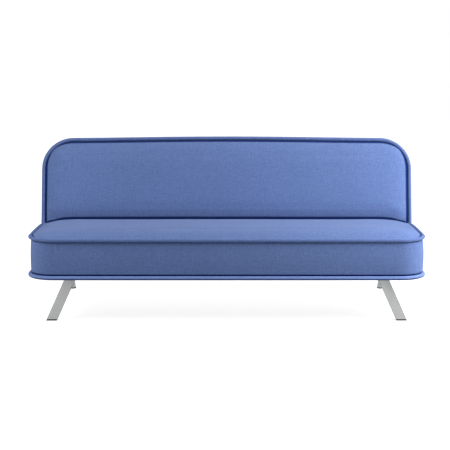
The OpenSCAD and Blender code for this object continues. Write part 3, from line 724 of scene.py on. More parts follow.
def puff(piece, held, pressure, cap):
    # Blows the cover up between its seams. held is 1 where a point stays and 0 where it is free
    rest = vectorsOf(piece.data, "co")
    group = piece.vertex_groups.new(name="held")
    for weight in np.unique(np.round(held, 1)):
        chosen = np.nonzero(np.round(held, 1) == weight)[0].tolist()
        group.add(chosen, float(weight), "REPLACE")
    cover = piece.modifiers.new("cover", "CLOTH")
    sewn = cover.settings
    sewn.quality, sewn.mass = blowing["quality"], blowing["mass"]
    sewn.tension_stiffness = sewn.compression_stiffness = blowing["stiffness"]
    sewn.shear_stiffness, sewn.bending_stiffness = blowing["shear"], blowing["bending"]
    sewn.use_pressure, sewn.uniform_pressure_force = True, pressure
    sewn.vertex_group_mass = "held"
    sewn.effector_weights.gravity = 0
    cover.collision_settings.use_collision = False
    cover.point_cache.frame_end = blowing["frames"]
    for frameNumber in range(1, blowing["frames"] + 1):
        scene.frame_set(frameNumber)
    blown = piece.evaluated_get(bpy.context.evaluated_depsgraph_get())
    moved = vectorsOf(blown.data, "co") - rest
    outward = vectorsOf(piece.data, "normal")
    # The foam inside stops the cover from sinking
    sunk = np.minimum((moved * outward).sum(1), 0)
    moved -= sunk[:, None] * outward
    far = np.linalg.norm(moved, axis=1)
    moved *= (np.tanh(far / cap) * cap / np.maximum(far, 1e-9))[:, None]
    piece.modifiers.remove(cover)
    piece.vertex_groups.clear()
    scene.frame_set(1)
    piece.data.vertices.foreach_set("co", (rest + moved).ravel())
    print(piece.name, "blown up, most moved", round(float(far.max()) * 1000, 1), "mm")


def finishCover(cushion, held, keepFaces, settings):
    puff(cushion, held, settings["pressure"], settings["cap"])
    work = bmesh.new()
    work.from_mesh(cushion.data)
    work.faces.ensure_lookup_table()
    gone = [work.faces[i] for i, stays in enumerate(keepFaces) if not stays]
    bmesh.ops.delete(work, geom=gone, context="FACES")
    work.to_mesh(cushion.data)
    work.free()
    addWall(cushion, sewing["clothWall"], -1)
    fine = cushion.modifiers.new("fine", "SUBSURF")
    fine.levels = fine.render_levels = 1
    cushion.data.materials.append(finishes["coverCloth"])


# The seat's cover

sewing = {  # both covers
    "step": 0.014,
    "seamRows": (0.003, 0.007, 0.012, 0.020),
    "seamHeld": 0.006,
    "seamDraw": 0.030,  # the cloth is full again this far from a seam
    "overlap": 0.0012,
    "dip": 0.0014,
    "dipFade": 0.08,
    "clothWall": 0.0014,
}
seatCushion = {
    "frontCorner": 0.130,
    "underCorner": 0.130,
    "underOut": 0.0030,
    "underLift": 0.0008,
    "rearCorner": 0.034,
    "slotRoom": 0.002,
    "sideLift": 0.0045,
    "sideLiftPower": 0.8,
    "sideLiftFade": 0.12,
    "bandBulge": (0.0052, 0.0095),  # at the left and right ends
    "bandEven": 0.55,
    "sideReach": 0.150,
    "frontReach": 0.092,
    "rearReach": (0.049, 0.066),  # in the middle and at the ends
    "crownPower": 2.3,
    "dipScale": 3.2,
    "bandShade": (0.0125, 0.0080),
    "edgeShade": 0.0055,
    "frontShade": -0.0050,
    "frontFade": 0.05,
    "lip": 0.044,
    "rearHeld": 0.02,
    "crestReach": 0.12,
    "lineOfSight": 0.145,
    "pressure": 1.4,
    "cap": 0.006,  # the most that a point may move when the cover is blown up
}
crestLine = {}  # height of the seat's crest as it is seen, at each column


def seamLift(y):
    # The upper seam rides up a little along each side
    part = (np.asarray(y) - seatFront) / (seatRear - seatFront)
    bow = np.sin(np.clip(part, 0, 1) * math.pi)
    return seatCushion["sideLift"] * bow ** seatCushion["sideLiftPower"]


def makeSeatCushion():
    s = seatCushion
    hx, y0, y1 = coverHigh.x, coverLow.y, coverHigh.y
    middle = (y0 + y1) / 2
    rows, step = sewing["seamRows"], sewing["step"]
    slotXs = (armLow.x - s["slotRoom"], armHigh.x + s["slotRoom"])
    slotZs = (railTop, armHigh.z + s["slotRoom"])
    xs = gridLines(mirrored([0, *slotXs, *(hx - i for i in reversed(rows)), hx]), step)
    ys = gridLines([y0, *(y0 + i for i in rows), *(y1 - i for i in reversed(rows)), y1], step)
    zs = gridLines(sorted({underSeam, *(underSeam + i for i in rows), *slotZs,
                           *(seatSeam - i for i in rows), seatSeam}), step)
    points, faces, panels = boxGrid(xs, ys, zs)
    x, y, z = points.T
    onTop, onLow, onRear = z > seatSeam - touch, z < underSeam + touch, y > y1 - touch
    fromSide = hx - abs(x)
    edge = np.minimum(fromSide, np.minimum(y - y0, y1 - y))
    band = ~onTop & ~onLow
    gap = np.where(band, np.minimum(z - underSeam, seatSeam - z), edge)

    # Outline: drawn in at the seams, full between them
    level = np.clip((z - underSeam) / (seatSeam - underSeam), 0, 1)
    swell = soft(gap / sewing["seamDraw"]) * np.interp(x, (-hx, hx), s["bandBulge"])
    swell = swell * (s["bandEven"] + (1 - s["bandEven"]) * np.sin(math.pi * level))
    grow = sewing["overlap"] + s["underOut"] * (1 - level) + np.where(band & ~onRear, swell, 0)
    grow = np.where(onRear, sewing["overlap"], grow)
    frontRadius = s["underCorner"] + (s["frontCorner"] - s["underCorner"]) * level
    radius = np.where(y < middle, frontRadius, s["rearCorner"]) - coverIn
    inward = np.where(y < middle, y0 + radius - y, y - (y1 - radius))
    bx, by = grownCorner(abs(x) - (hx - radius), inward, radius, grow)
    newX = np.sign(x) * (hx - radius + bx)
    newY = np.where(y < middle, y0 + radius - by, y1 - radius + by)

    # Crown: a round shoulder at the seam and a nearly flat middle
    lift, power = pipeR / 2, s["crownPower"]
    rearReach = np.interp(abs(x), (0, hx), s["rearReach"])
    rise = soft((y - y0) / s["frontReach"], power) * soft((y1 - y) / rearReach, power)
    rise = rise * soft(fromSide / s["sideReach"], power)
    rise = lift + (coverHigh.z - seatSeam - lift) * rise
    uneven = abs(rollNoise(points, s["dipScale"], sewing["dip"], 1))
    uneven = uneven * smooth(edge / sewing["dipFade"])
    sideLift = seamLift(y) * (1 - smooth(fromSide / s["sideLiftFade"]))
    newZ = np.where(onTop, seatSeam + rise + uneven + sideLift, z + sideLift * level)
    newZ = np.where(onLow, underSeam + s["underLift"], newZ)
    for column in np.unique(x[onTop]):
        crest = onTop & (x == column) & (y > y1 - s["crestReach"])
        seen = newZ[crest] - (y1 - newY[crest]) * s["lineOfSight"]
        crestLine[float(newX[crest].mean())] = float(seen.max())
    # Painted shade near the seams, darkest on the band and along the sides, eased off at the
    # front edge
    shade = gap - np.where(band, np.where(level < 0.5, *s["bandShade"]), s["edgeShade"])
    nearFront = smooth((np.minimum(fromSide, y1 - y) - (y - y0)) / s["frontFade"])
    shade = np.where(onTop, shade + (s["edgeShade"] - s["frontShade"]) * nearFront, shade)

    # Open where the hinge arms pass, and underneath inside the lip
    keepFaces = []
    for face, panel in zip(faces, panels):
        mid = points[face].mean(0)
        inSlot = slotXs[0] < abs(mid[0]) < slotXs[1] and slotZs[0] < mid[2] < slotZs[1]
        inside = min(hx - abs(mid[0]), mid[1] - y0, y1 - mid[1]) > s["lip"]
        keepFaces.append(not (panel == "rear" and inSlot) and not (panel == "bottom" and inside))
    uvs = panelUvs(points, faces, panels, {
        "top": lambda px, py, pz: (px, py),
        "bottom": lambda px, py, pz: (px, py),
        "front": lambda px, py, pz: (px, pz),
        "rear": lambda px, py, pz: (px + 7, pz),
        "right": lambda px, py, pz: (hx + py - y0, pz),
        "left": lambda px, py, pz: (y0 - hx - py, pz)})
    cushion = meshFrom("seatCushion", np.stack([newX, newY, newZ], 1), faces, uvs,
                       {"seamGap": shade, "crease": np.ones(len(points))})
    lowRear = onRear & (z < seatSeam - s["rearHeld"])
    held = np.where((gap < sewing["seamHeld"]) | onLow | lowRear, 1.0, 0.0)
    finishCover(cushion, held, keepFaces, s)
    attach(cushion, "base")
    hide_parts("seat_cover")
    print("seat cushion made")


# The backrest's cover

backCushion = {
    "topCorner": 0.155,
    "topGap": 0.0003,
    "tailRadius": 0.040,
    "tuckRows": (0.084, 0.092, 0.099, 0.106, 0.112, 0.118, 0.124, 0.130, 0.137),
    "arch": 0.0040,
    "archDrop": 0.0006,
    "edgeShade": 0.0098,
    "rimShade": 0.0080,
    "creaseLift": 0.0010,
    "creaseDepth": 0.0020,
    "creaseReach": 0.008,
    "creaseShadeFade": 0.0028,
    "creaseShadeEnd": (0.80, 0.88),  # the tuck's painted shade fades between these, towards each side
    "crown": 0.0265,
    "crownReach": 0.078,
    "crownPower": 2.2,
    "crownLow": (0.060, 0.134),
    "crownFade": 1.25,
    "sideBulge": 0.0045,
    "rearBulge": 0.006,
    "rearRise": (0.06, 0.18),
    "dipScale": 3.0,
    "slotRoom": (0.0050, 0.0035),
    "slotFront": 0.0120,
    "slotUnder": 0.0250,
    "heldBelow": 0.085,
    "pressure": 1.2,
    "cap": 0.005,
}


def archAt(x):
    # The top edge stands a little higher in the middle than near its ends
    bow = np.cos(np.asarray(x) * math.pi / halfWidth)
    return backCushion["arch"] * bow - backCushion["archDrop"]


def makeBackCushion():
    s = backCushion
    hx, top, low = coverHigh.x, backUp - pipeR - s["topGap"], -noseR
    y0, y1 = -noseR, backRear
    rows, step = sewing["seamRows"], sewing["step"]
    slotXs = (pinLow.x - s["slotRoom"][0], pinHigh.x + s["slotRoom"][1])
    xs = gridLines(mirrored([0, *slotXs, *(hx - i for i in reversed(rows)), hx]), step)
    ys = gridLines(sorted({y0, *(y0 + i for i in rows), *(y1 - i for i in rows), y1,
                           s["slotUnder"]}), step)
    zs = gridLines(sorted({low, s["slotFront"], *s["tuckRows"], *(top - i for i in rows), top}),
                   step)
    points, faces, panels = boxGrid(xs, ys, zs)
    x, y, z = points.T
    onFront, onRear = y < y0 + touch, y > y1 - touch
    fromSide = hx - abs(x)
    amid = ~onFront & ~onRear
    onRim = amid & ((fromSide < touch) | (z > top - touch))
    under = amid & ~onRim
    edge = np.minimum(fromSide, top - z)
    gap = np.where(onRim, np.minimum(y - y0, y1 - y), np.minimum(edge, 1.0))

    # Rim: drawn in at both seams, full between them
    thick = np.clip((y - y0) / (y1 - y0), 0, 1)
    swell = soft(gap / sewing["seamDraw"]) * s["sideBulge"]
    swell = swell * (0.5 + 0.5 * np.sin(math.pi * thick))
    grow = sewing["overlap"] + np.where(onRim, swell, 0)
    radius = s["topCorner"] - coverIn
    bx, bz = grownCorner(abs(x) - (hx - radius), z - (top - radius), radius, grow)
    newX, newZ = np.sign(x) * (hx - radius + bx), top - radius + bz
    newZ = newZ + archAt(newX) * smooth(z / top)

    # Nose in front and tail behind, under the hinge
    tail = s["tailRadius"]
    ay, az = roundCorner(-y, -z, noseR)
    ty, tz = roundCorner(y - (y1 - tail), low + tail - z, tail)
    front = (y < 0) & (z < 0)
    rear = (y > y1 - tail) & (z < low + tail)
    newY = np.where(front, -ay, np.where(rear, y1 - tail + ty, y))
    newZ = np.where(front, -az, np.where(rear, low + tail - tz, newZ))

    # Crown of the front, fading out above the nose, and a flatter one behind
    lowEnd, highEnd = s["crownLow"]
    reach, power = s["crownReach"], s["crownPower"]
    full = soft(fromSide / reach, power) * soft((top - z) / reach, power)
    fade = soft((z - lowEnd) / (highEnd - lowEnd), s["crownFade"])
    uneven = abs(rollNoise(points, s["dipScale"], sewing["dip"], 2))
    uneven = uneven * smooth(edge / sewing["dipFade"])
    newY = newY - np.where(onFront, (s["crown"] + uneven) * full * fade, 0)
    newY = newY + np.where(onRear, s["rearBulge"] * full * between(z, *s["rearRise"]), 0)
    # A shallow tuck across the front, where it rises clear of the seat, with a painted shade
    # line along it for the shade under the seat's crest
    turn = np.array(backPlace)
    places = sorted(crestLine)
    tuck = np.interp(newX, places, [crestLine[place] for place in places]) + s["creaseLift"]
    height = newY * turn[2, 1] + newZ * turn[2, 2] + turn[2, 3]
    crease = np.where(onFront, height - tuck, 1.0)
    newY = newY + s["creaseDepth"] * (1 - smooth(abs(crease) / s["creaseReach"]))
    # The painted shade line fades out towards each side
    nearEnd = between(abs(x), *s["creaseShadeEnd"]) * s["creaseShadeFade"]
    crease = np.where(crease < 0, crease - nearEnd, crease + nearEnd)
    shaped = np.stack([newX, newY, newZ], 1) @ turn[:3, :3].T + turn[:3, 3]

    # Open round the hinge pins
    keepFaces = []
    for face, panel in zip(faces, panels):
        mid = points[face].mean(0)
        column = slotXs[0] < abs(mid[0]) < slotXs[1]
        nose = panel == "front" and mid[2] < s["slotFront"]
        below = panel == "bottom" and mid[1] < s["slotUnder"]
        keepFaces.append(not (column and (nose or below)))
    uvs = panelUvs(points, faces, panels, {
        "front": lambda px, py, pz: (px, pz),
        "rear": lambda px, py, pz: (px + 5, pz),
        "bottom": lambda px, py, pz: (px, low - (py - y0)),
        "top": lambda px, py, pz: (px, py + 9),
        "left": lambda px, py, pz: (py + 11, pz),
        "right": lambda px, py, pz: (py + 13, pz)})
    # Painted shade near the seams
    shade = gap - np.where(onRim, s["rimShade"], s["edgeShade"])
    cushion = meshFrom("backCushion", shaped, faces, uvs, {"seamGap": shade, "crease": crease})
    lowPart = (z < s["heldBelow"]) & ~onRim
    held = np.where((gap < sewing["seamHeld"]) | lowPart | under, 1.0, 0.0)
    finishCover(cushion, held, keepFaces, s)
    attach(cushion, "backrest")
    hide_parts("back_cover")
    print("back cushion made")


# Piping

piping = {"pointStep": 0.008, "sides": 14, "waver": 0.0006, "waverScale": 16.0,
          "lowerSag": 0.0013, "lowerFuller": 0.0008}


def formTree(name, inputs):
    # A tree for a Geometry Nodes modifier, with a named input for each size
    tree, given, out = newTree(name, "GeometryNodeTree", {
        "Geometry": "Geometry", **inputs, "Material": "Material"}, {"Geometry": "Geometry"})
    tree.is_modifier = True
    line = first(tree, "GeometryNodeMeshToCurve", {"Mesh": given["Geometry"]})
    return tree, given, out, line


def stored(tree, geometry, name, value):
    return first(tree, "GeometryNodeStoreNamedAttribute", {
        "Geometry": geometry, "Name": name, "Value": value}, data_type="FLOAT", domain="POINT")


def pushed(tree, geometry, offset):
    return first(tree, "GeometryNodeSetPosition", {"Geometry": geometry, "Offset": offset})


def endTree(tree, geometry, given, out):
    real = first(tree, "GeometryNodeRealizeInstances", {"Geometry": geometry})
    made = first(tree, "GeometryNodeSetMaterial", {
        "Geometry": real, "Material": given["Material"]})
    join(tree, made, out["Geometry"])
    return tree


def makePipeTree():
    # Tube along the object's own line, wavering a little as sewn cord does
    tree, given, out, line = formTree("pipeAlongLine", {
        "Radius": "Float", "Waver": "Float", "Waver Scale": "Float", "Sides": "Int",
        "Seed": "Float"})
    along = put(tree, "GeometryNodeSplineParameter").outputs["Length"]
    around = put(tree, "GeometryNodeSplineParameter").outputs["Factor"]
    ring = first(tree, "GeometryNodeCurvePrimitiveCircle", {
        "Resolution": given["Sides"], "Radius": given["Radius"]}, mode="RADIUS")
    tube = first(tree, "GeometryNodeCurveToMesh", {
        "Curve": stored(tree, line, "along", along),
        "Profile Curve": stored(tree, ring, "around", around), "Fill Caps": True})
    drift = put(tree, "ShaderNodeTexNoise", {
        "Scale": given["Waver Scale"], "W": given["Seed"]}, noise_dimensions="4D")
    centred = first(tree, "ShaderNodeVectorMath", {
        0: drift.outputs["Color"], 1: (0.5, 0.5, 0.5)}, operation="SUBTRACT")
    tube = pushed(tree, tube, scaledBy(tree, centred, given["Waver"]))
    tube = first(tree, "GeometryNodeSetShadeSmooth", {"Geometry": tube})
    return endTree(tree, tube, given, out)


def growFrom(tree, name, points, closed, values, body):
    # Runs a tree on a line of points and keeps the result as a plain mesh
    links = [(i, i + 1) for i in range(len(points) - 1)]
    if closed:
        links.append((len(points) - 1, 0))
    seedMesh = bpy.data.meshes.new(name + "Line")
    seedMesh.from_pydata([tuple(p) for p in points], links, [])
    holder = addObject(name + "Line", seedMesh)
    modifier = holder.modifiers.new("grow", "NODES")
    modifier.node_group = tree
    ids = {item.name: item.identifier for item in tree.interface.items_tree
           if item.item_type == "SOCKET" and item.in_out == "INPUT"}
    for label, value in values.items():
        modifier[ids[label]] = value
    evaluated = holder.evaluated_get(bpy.context.evaluated_depsgraph_get())
    mesh = bpy.data.meshes.new_from_object(evaluated)
    holder.modifiers.remove(modifier)
    bpy.data.objects.remove(holder)
    bpy.data.meshes.remove(seedMesh)
    mesh.name = name
    piece = addObject(name, mesh)
    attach(piece, body)
    return piece


def arcPoints(cx, cy, radius, start, end):
    step = piping["pointStep"]
    count = max(2, round(abs(math.radians(end - start)) * radius / step))
    angles = [math.radians(start + (end - start) * i / count) for i in range(count)]
    return [(cx + radius * math.cos(a), cy + radius * math.sin(a)) for a in angles]


def straight(a, b):
    a, b = Vector(a), Vector(b)
    count = max(1, round((b - a).length / piping["pointStep"]))
    return [tuple(a.lerp(b, i / count)) for i in range(count)]


def seatLoop(z, corner, lift, wider=0.0):
    out, rr = halfWidth - pipeR + wider, seatCushion["rearCorner"] - pipeR
    rf = corner - pipeR + wider
    y0, y1 = seatFront + pipeR - wider, seatRear - pipeR
    flat = straight((rf - out, y0), (out - rf, y0)) + arcPoints(out - rf, y0 + rf, rf, -90, 0)
    flat += straight((out, y0 + rf), (out, y1 - rr)) + arcPoints(out - rr, y1 - rr, rr, 0, 90)
    flat += straight((out - rr, y1), (rr - out, y1)) + arcPoints(rr - out, y1 - rr, rr, 90, 180)
    flat += straight((-out, y1 - rr), (-out, y0 + rf))
    flat += arcPoints(rf - out, y0 + rf, rf, 180, 270)
    return [(x, y, z + lift * float(seamLift(y))) for x, y in flat]


def backLoop(y, low, nose):
    out, r = halfWidth - pipeR, backCushion["topCorner"] - pipeR
    turn = backUp - r
    flat = straight((out, low), (out, turn)) + arcPoints(out - r, turn, r, 0, 90)
    side = [(x, y, z) for x, z in flat]
    if nose:
        side = [(out, a, b) for a, b in arcPoints(0, 0, noseR, 270, 180)] + side
    top = [(x, y, z) for x, z in straight((out - r, backUp), (r - out, backUp))]
    other = [(-x, b, c) for x, b, c in reversed(side)]
    loop = []
    for x, b, c in side + top + [(r - out, y, backUp)] + other:
        arch = float(archAt(x)) * max(0, min(1, c / backUp)) ** 2
        loop.append(tuple(backPlace @ Vector((x, b, c + arch))))
    return loop


def makePipings():
    tree = makePipeTree()
    lines = [
        ("seatPipingUpper", seatLoop(seatSeam, seatCushion["frontCorner"], 1), True, "base",
         "seat_piping_upper"),
        ("seatPipingLower", seatLoop(underSeam - piping["lowerSag"], seatCushion["underCorner"],
                                     0, seatCushion["underOut"]), True, "base",
         "seat_piping_lower"),
        ("backPipingFront", backLoop(-noseR, 0, True), False, "backrest", "back_piping_front"),
        ("backPipingRear", backLoop(backRear, -noseR + backCushion["tailRadius"], False), False,
         "backrest", "back_piping_rear"),
    ]
    for seed, (name, points, closed, body, node) in enumerate(lines):
        low = node == "seat_piping_lower"
        values = {"Radius": pipeR + (piping["lowerFuller"] if low else 0),
                  "Waver": piping["waver"], "Waver Scale": piping["waverScale"],
                  "Sides": piping["sides"], "Seed": float(seed),
                  "Material": finishes["lowPipingPaintedLitCloth" if low else "pipingCloth"]}
        piece = growFrom(tree, name, points, closed, values, body)
        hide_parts(node)
    print("piping made")


# Dust cover under the seat, with its staples

underside = {"step": 0.02, "thickness": 0.0006, "cornerLeast": 0.004, "sag": 0.0016,
             "sagEven": 0.75, "sagWaves": 24, "barRoom": 0.10, "sideFade": 0.12,
             "endFade": 0.15}


def makeDustCover():
    u = underside
    low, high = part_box("dust_cover")
    hx, y0, y1 = high.x, low.y, high.y
    xs, ys = gridLines([-hx, hx], u["step"]), gridLines([y0, y1], u["step"])
    x, y = np.array([(x, y) for y in ys for x in xs]).T
    across = len(xs)
    faces = [(a, a + across, a + across + 1, a + 1)
             for j in range(len(ys) - 1) for a in range(j * across, (j + 1) * across - 1)]
    middle = (y0 + y1) / 2
    corners = [max(seatCushion[c] - (halfWidth - hx), u["cornerLeast"])
               for c in ("underCorner", "rearCorner")]
    radius = np.where(y < middle, *corners)
    inward = np.where(y < middle, y0 + radius - y, y - (y1 - radius))
    bx, by = roundCorner(abs(x) - (hx - radius), inward, radius)
    newX = np.sign(x) * (hx - radius + bx)
    newY = np.where(y < middle, y0 + radius - by, y1 - radius + by)
    # The cloth hangs a little between the rails, and not where the legs press it
    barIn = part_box("rear_leg_bar_right")[0].x - u["barRoom"]
    free = smooth((barIn - abs(x)) / u["sideFade"])
    free = free * smooth(np.minimum(y - y0, y1 - y) / u["endFade"])
    hang = u["sag"] * free * (u["sagEven"] + (1 - u["sagEven"]) * np.cos(x * u["sagWaves"]))
    newZ = low.z + u["thickness"] - hang
    sheet = meshFrom("dustCover", np.stack([newX, newY, newZ], 1), faces)
    addWall(sheet, u["thickness"], 0)
    sheet.data.materials.append(finishes["dustCloth"])
    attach(sheet, "base")
    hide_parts("dust_cover")
    staples = makeStaples(hx, y0, y1, low.z)
    print("dust cover made")


def makeRepeatTree(name, build):
    # One small mesh at every point of the object's own line, turned along it
    sizes = ("Spacing", "Width", "Height", "Depth", "Turn", "Loose")
    tree, given, out, line = formTree(name, {
        **{label: "Float" for label in sizes}, "Seed": "Int", "Up": "Vector"})
    points = put(tree, "GeometryNodeCurveToPoints", {
        "Curve": line, "Length": given["Spacing"]}, mode="LENGTH").outputs
    aimed = first(tree, "FunctionNodeAlignRotationToVector", {
        "Vector": points["Tangent"]}, axis="X")
    aimed = first(tree, "FunctionNodeAlignRotationToVector", {
        "Rotation": aimed, "Vector": given["Up"]}, axis="Z", pivot_axis="X")
    loose = put(tree, "FunctionNodeRandomValue", {
        2: times(tree, given["Loose"], -1.0), 3: given["Loose"], "Seed": given["Seed"]},
        data_type="FLOAT").outputs[1]
    turn = vectorOf(tree, {2: maths(tree, "ADD", loose, given["Turn"])})
    aimed = first(tree, "FunctionNodeRotateRotation", {
        "Rotation": aimed, "Rotate By": first(tree, "FunctionNodeEulerToRotation", {0: turn})},
        rotation_space="LOCAL")
    size = vectorOf(tree, {0: given["Width"], 1: given["Depth"], 2: given["Height"]})
    placed = first(tree, "GeometryNodeInstanceOnPoints", {
        "Points": points["Points"], "Instance": build(tree, size), "Rotation": aimed})
    return endTree(tree, placed, given, out)


staple = {"wide": 0.010, "wire": 0.0007, "gap": 0.055, "inset": 0.007, "rearCut": 0.02,
          "turn": 0.25, "loose": 0.22, "seed": 4, "legsAt": 0.45, "legs": -0.0006}


def stapleShape(tree, size):
    # Crown of the staple with its two corners turned down
    bar = first(tree, "GeometryNodeMeshCube", {"Size": size, "Vertices X": 5})
    place = axes(tree, first(tree, "GeometryNodeInputPosition"))
    legsFrom = times(tree, axes(tree, size)[0], staple["legsAt"])
    end = maths(tree, "GREATER_THAN", maths(tree, "ABSOLUTE", place[0]), legsFrom)
    return pushed(tree, bar, vectorOf(tree, {2: times(tree, end, staple["legs"])}))


def makeStaples(hx, y0, y1, z):
    s = staple
    corner, cut = seatCushion["underCorner"], s["rearCut"]
    front, rear = y0 + s["inset"], y1 - s["inset"]
    out, z = hx - s["inset"], z - s["wire"] / 2
    right = [(hx - corner, front, z), (out, y0 + corner, z), (out, rear - cut, z),
             (out - cut, rear, z)]
    left = [(-x, y, z) for x, y, z in reversed(right)]
    loop = [left[-1], *right, *left[:-1]]
    values = {"Spacing": s["gap"], "Width": s["wide"], "Height": s["wire"], "Depth": s["wire"],
              "Turn": s["turn"], "Loose": s["loose"], "Seed": s["seed"], "Up": (0.0, 0.0, -1.0),
              "Material": finishes["brightZinc"]}
    tree = makeRepeatTree("edgeStaples", stapleShape)
    return growFrom(tree, "dustStaples", loop, True, values, "base")


# Zip across the back

zipper = {"tapeRows": 7, "tapeStep": 0.012, "tapeHalf": 0.013, "tapeThick": 0.0007,
          "clear": 0.0001, "ripple": 0.0004, "rippleScale": (22, 0.6, 4),
          "toothPitch": 0.0031, "toothWide": 0.0016, "toothLong": 0.0042,
          "toothThick": 0.0018, "toothOut": 0.28, "toothHook": 0.35, "endRoom": 0.01}


def toothShape(tree, size):
    # Hooked tooth: a block that is wider where it locks
    block = first(tree, "GeometryNodeMeshCube", {"Size": size, "Vertices Y": 3})
    place = axes(tree, first(tree, "GeometryNodeInputPosition"))
    head = maths(tree, "GREATER_THAN", place[1], 0.0)
    grow = times(tree, times(tree, place[0], head), zipper["toothHook"])
    return pushed(tree, block, vectorOf(tree, {0: grow}))


def makeZip():
    zp = zipper
    low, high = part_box("rear_zip")
    upright = backPlace.inverted()
    middle = ((upright @ low).z + (upright @ high).z) / 2
    y = backRear + zp["tapeThick"] / 2 + zp["clear"]
    xs = gridLines([-high.x, high.x], zp["tapeStep"])
    points, faces = [], []
    rows = zp["tapeRows"]
    alongScale, rowScale, layer = zp["rippleScale"]
    for x in xs:
        for j in range(rows):
            z = middle + zp["tapeHalf"] * (2 * j / (rows - 1) - 1)
            wave = zp["ripple"] * noise.noise(Vector((x * alongScale, j * rowScale, layer)))
            points.append(tuple(backPlace @ Vector((x, y + abs(wave), z))))
    for i in range(len(xs) - 1):
        for a in range(i * rows, (i + 1) * rows - 1):
            faces.append((a, a + 1, a + rows + 1, a + rows))
    sewn = meshFrom("zipTape", points, faces)
    addWall(sewn, zp["tapeThick"], 0)
    sewn.data.materials.append(finishes["zipTape"])
    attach(sewn, "backrest")
    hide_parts("rear_zip")
    tree = makeRepeatTree("zipTeeth", toothShape)
    outward = (backPlace.to_3x3() @ Vector((0, 1, 0))).normalized()
    yTooth = y + zp["tapeThick"] / 2 + zp["toothThick"] / 2
    far = high.x - zp["endRoom"]
    for name, side, turn in (("zipTeethLower", -1, 0.0), ("zipTeethUpper", 1, math.pi)):
        shift = side * zp["toothPitch"] / 4
        z = middle + side * zp["toothLong"] * zp["toothOut"]
        ends = [backPlace @ Vector((x + shift, yTooth, z)) for x in (-far, far)]
        values = {"Spacing": zp["toothPitch"], "Width": zp["toothWide"],
                  "Height": zp["toothThick"], "Depth": zp["toothLong"], "Turn": turn,
                  "Loose": 0.0, "Seed": 0, "Up": tuple(outward),
                  "Material": finishes["zipMetal"]}
        teeth = growFrom(tree, name, ends, False, values, "backrest")
    print("zip made")


# Legs, bars and hinge parts: copies of the frame's nodes with eased edges

eased = {  # nodes, width and segments of the eased edge, material, slot
    "frontLegs": ("front_leg_left front_leg_right", 0.0024, 3, "frontLegMetal",
                  "front_leg_metal"),
    "rearLegs": ("rear_leg_left rear_leg_right", 0.0004, 2, "rearLegChrome",
                 "rear_leg_chrome"),
    "legPlates": ("front_leg_plates", 0.0008, 2, "brightZinc", "bright_zinc"),
    "legBars": ("rear_leg_bar_left rear_leg_bar_right", 0.0012, 2, "framePaint",
                "frame_paint"),
    "glides": ("front_glide_left front_glide_right rear_glide_left rear_glide_right", 0.0010,
               2, "glidePlastic", "glide_plastic"),
    "legBolts": ("front_leg_bolts rear_leg_bolts", 0.0008, 2, "brightZinc", "bright_zinc"),
    "spacers": ("rear_leg_spacers", 0.0012, 2, "spacerRubber", "spacer_rubber"),
    "arms": ("hinge_arm_left hinge_arm_right", 0.0006, 2, "hingeSteel", "hinge_steel"),
    "pins": ("hinge_pin_left hinge_pin_right hinge_nuts", 0.0007, 2, "brightZinc",
             "bright_zinc"),
    "pawls": ("pawl_left pawl_right", 0.0004, 2, "hingeSteel", "hinge_steel"),
    "backPlates": ("back_plate_left back_plate_right", 0.0005, 2, "hingeSteel",
                   "hinge_steel"),
    "zipPull": ("zip_pull", 0.0008, 3, "zipMetal", "zip_metal"),
}
plain = {
    "framePaint": "front_rail rear_rail side_rail_left side_rail_right leg_rail_left"
                  " leg_rail_right cross_rails back_top_rail back_bottom_rail"
                  " back_upright_left back_upright_right back_inner_rails",
    "slatWood": "seat_slats",
    "backSlatWood": "back_slats",
    "pocketPlastic": "seat_slat_pockets back_slat_pockets",
    "creamFoam": "seat_foam back_foam",
    "brightZinc": "front_leg_nuts rear_leg_nuts hinge_arm_bolts pawl_pins pawl_springs"
                  " back_plate_bolts",
}
flatWithin, sharpFrom = math.radians(0.6), math.radians(38)


def easeNode(node, width, segments, finish):
    source = frame["nodes"][node]
    head, *tail = node.split("_")
    name = head + "".join(word.capitalize() for word in tail)
    work = bmesh.new()
    work.from_mesh(source.data)
    bmesh.ops.remove_doubles(work, verts=work.verts, dist=touch)
    bmesh.ops.dissolve_limit(work, angle_limit=flatWithin, verts=work.verts, edges=work.edges)
    mesh = bpy.data.meshes.new(name)
    work.to_mesh(mesh)
    work.free()
    smoothFaces(mesh)
    mesh.materials.clear()
    mesh.materials.append(finishes[finish])
    piece = addObject(name, mesh)
    edge = piece.modifiers.new("easedEdge", "BEVEL")
    edge.width, edge.segments = width, segments
    edge.limit_method, edge.angle_limit = "ANGLE", sharpFrom
    edge.harden_normals, edge.use_clamp_overlap = True, True
    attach(piece, source["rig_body"])
    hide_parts(node)


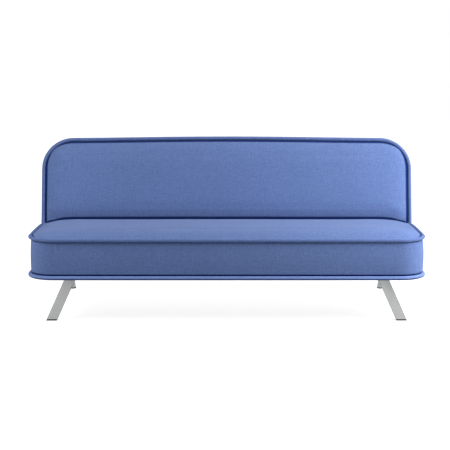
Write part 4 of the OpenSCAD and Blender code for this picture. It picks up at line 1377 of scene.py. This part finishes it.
def dressFrame():
    for nodes, width, segments, finish, slot in eased.values():
        for node in nodes.split():
            easeNode(node, width, segments, finish)
    for finish, nodes in plain.items():
        for node in nodes.split():
            for part in frame["nodes"][node].material_slots:
                part.material = finishes[finish]
    print("frame, legs and hinges dressed")


# Floor and surroundings

floorLook = {
    "radius": 14.0,
    "sides": 64,
    "colours": ((0.50, 0.50, 0.50, 1), (0.53, 0.53, 0.53, 1)),
    "mottle": (5.0, 2.0),
    "finish": {"Roughness": 0.9, "Specular IOR Level": 0.1, "Emission Color": (1, 1, 1, 1)},
    "lift": 0.85,  # how far the floor is lifted to white near the sofa
    "shadowReach": (1.5, 3.2),  # from here to here it turns fully white
}
ambient = 0.2


def makeFloor():
    mesh = bpy.data.meshes.new("floor")
    work = bmesh.new()
    bmesh.ops.create_circle(work, cap_ends=True, segments=floorLook["sides"],
                            radius=floorLook["radius"])
    work.to_mesh(mesh)
    work.free()
    floor = addObject("floor", mesh)
    tree, shader = newMaterial("floorWhite")
    place = objectPlace(tree)
    mottle = fineNoise(tree, place, *floorLook["mottle"])
    away = put(tree, "ShaderNodeVectorMath", {0: place}, operation="LENGTH").outputs["Value"]
    lift = remap(tree, away, *floorLook["shadowReach"], floorLook["lift"], 1.0)
    joinAll(tree, {
        "Base Color": blendColour(tree, mottle, *floorLook["colours"]),
        "Emission Strength": times(tree, seenRay(tree), lift), **floorLook["finish"]}, shader)
    mesh.materials.append(finishes["floorWhite"])


def makeSurroundings():
    world = bpy.data.worlds.new("surroundings")
    scene.world = world
    world.use_nodes = True
    tree = world.node_tree
    tree.nodes.clear()
    strength = maths(tree, "MULTIPLY_ADD", seenRay(tree), 1.0 - ambient, ambient)
    light = put(tree, "ShaderNodeBackground", {"Strength": strength, "Color": (1, 1, 1, 1)})
    output = tree.nodes.new("ShaderNodeOutputWorld")
    tree.links.new(light.outputs[0], output.inputs["Surface"])


# All together

scene.view_settings.view_transform = "Standard"
makeCamera()
makeLamps()
makeSurroundings()
makeFloor()
makeSeatCushion()
makeBackCushion()
makePipings()
makeDustCover()
makeZip()
dressFrame()
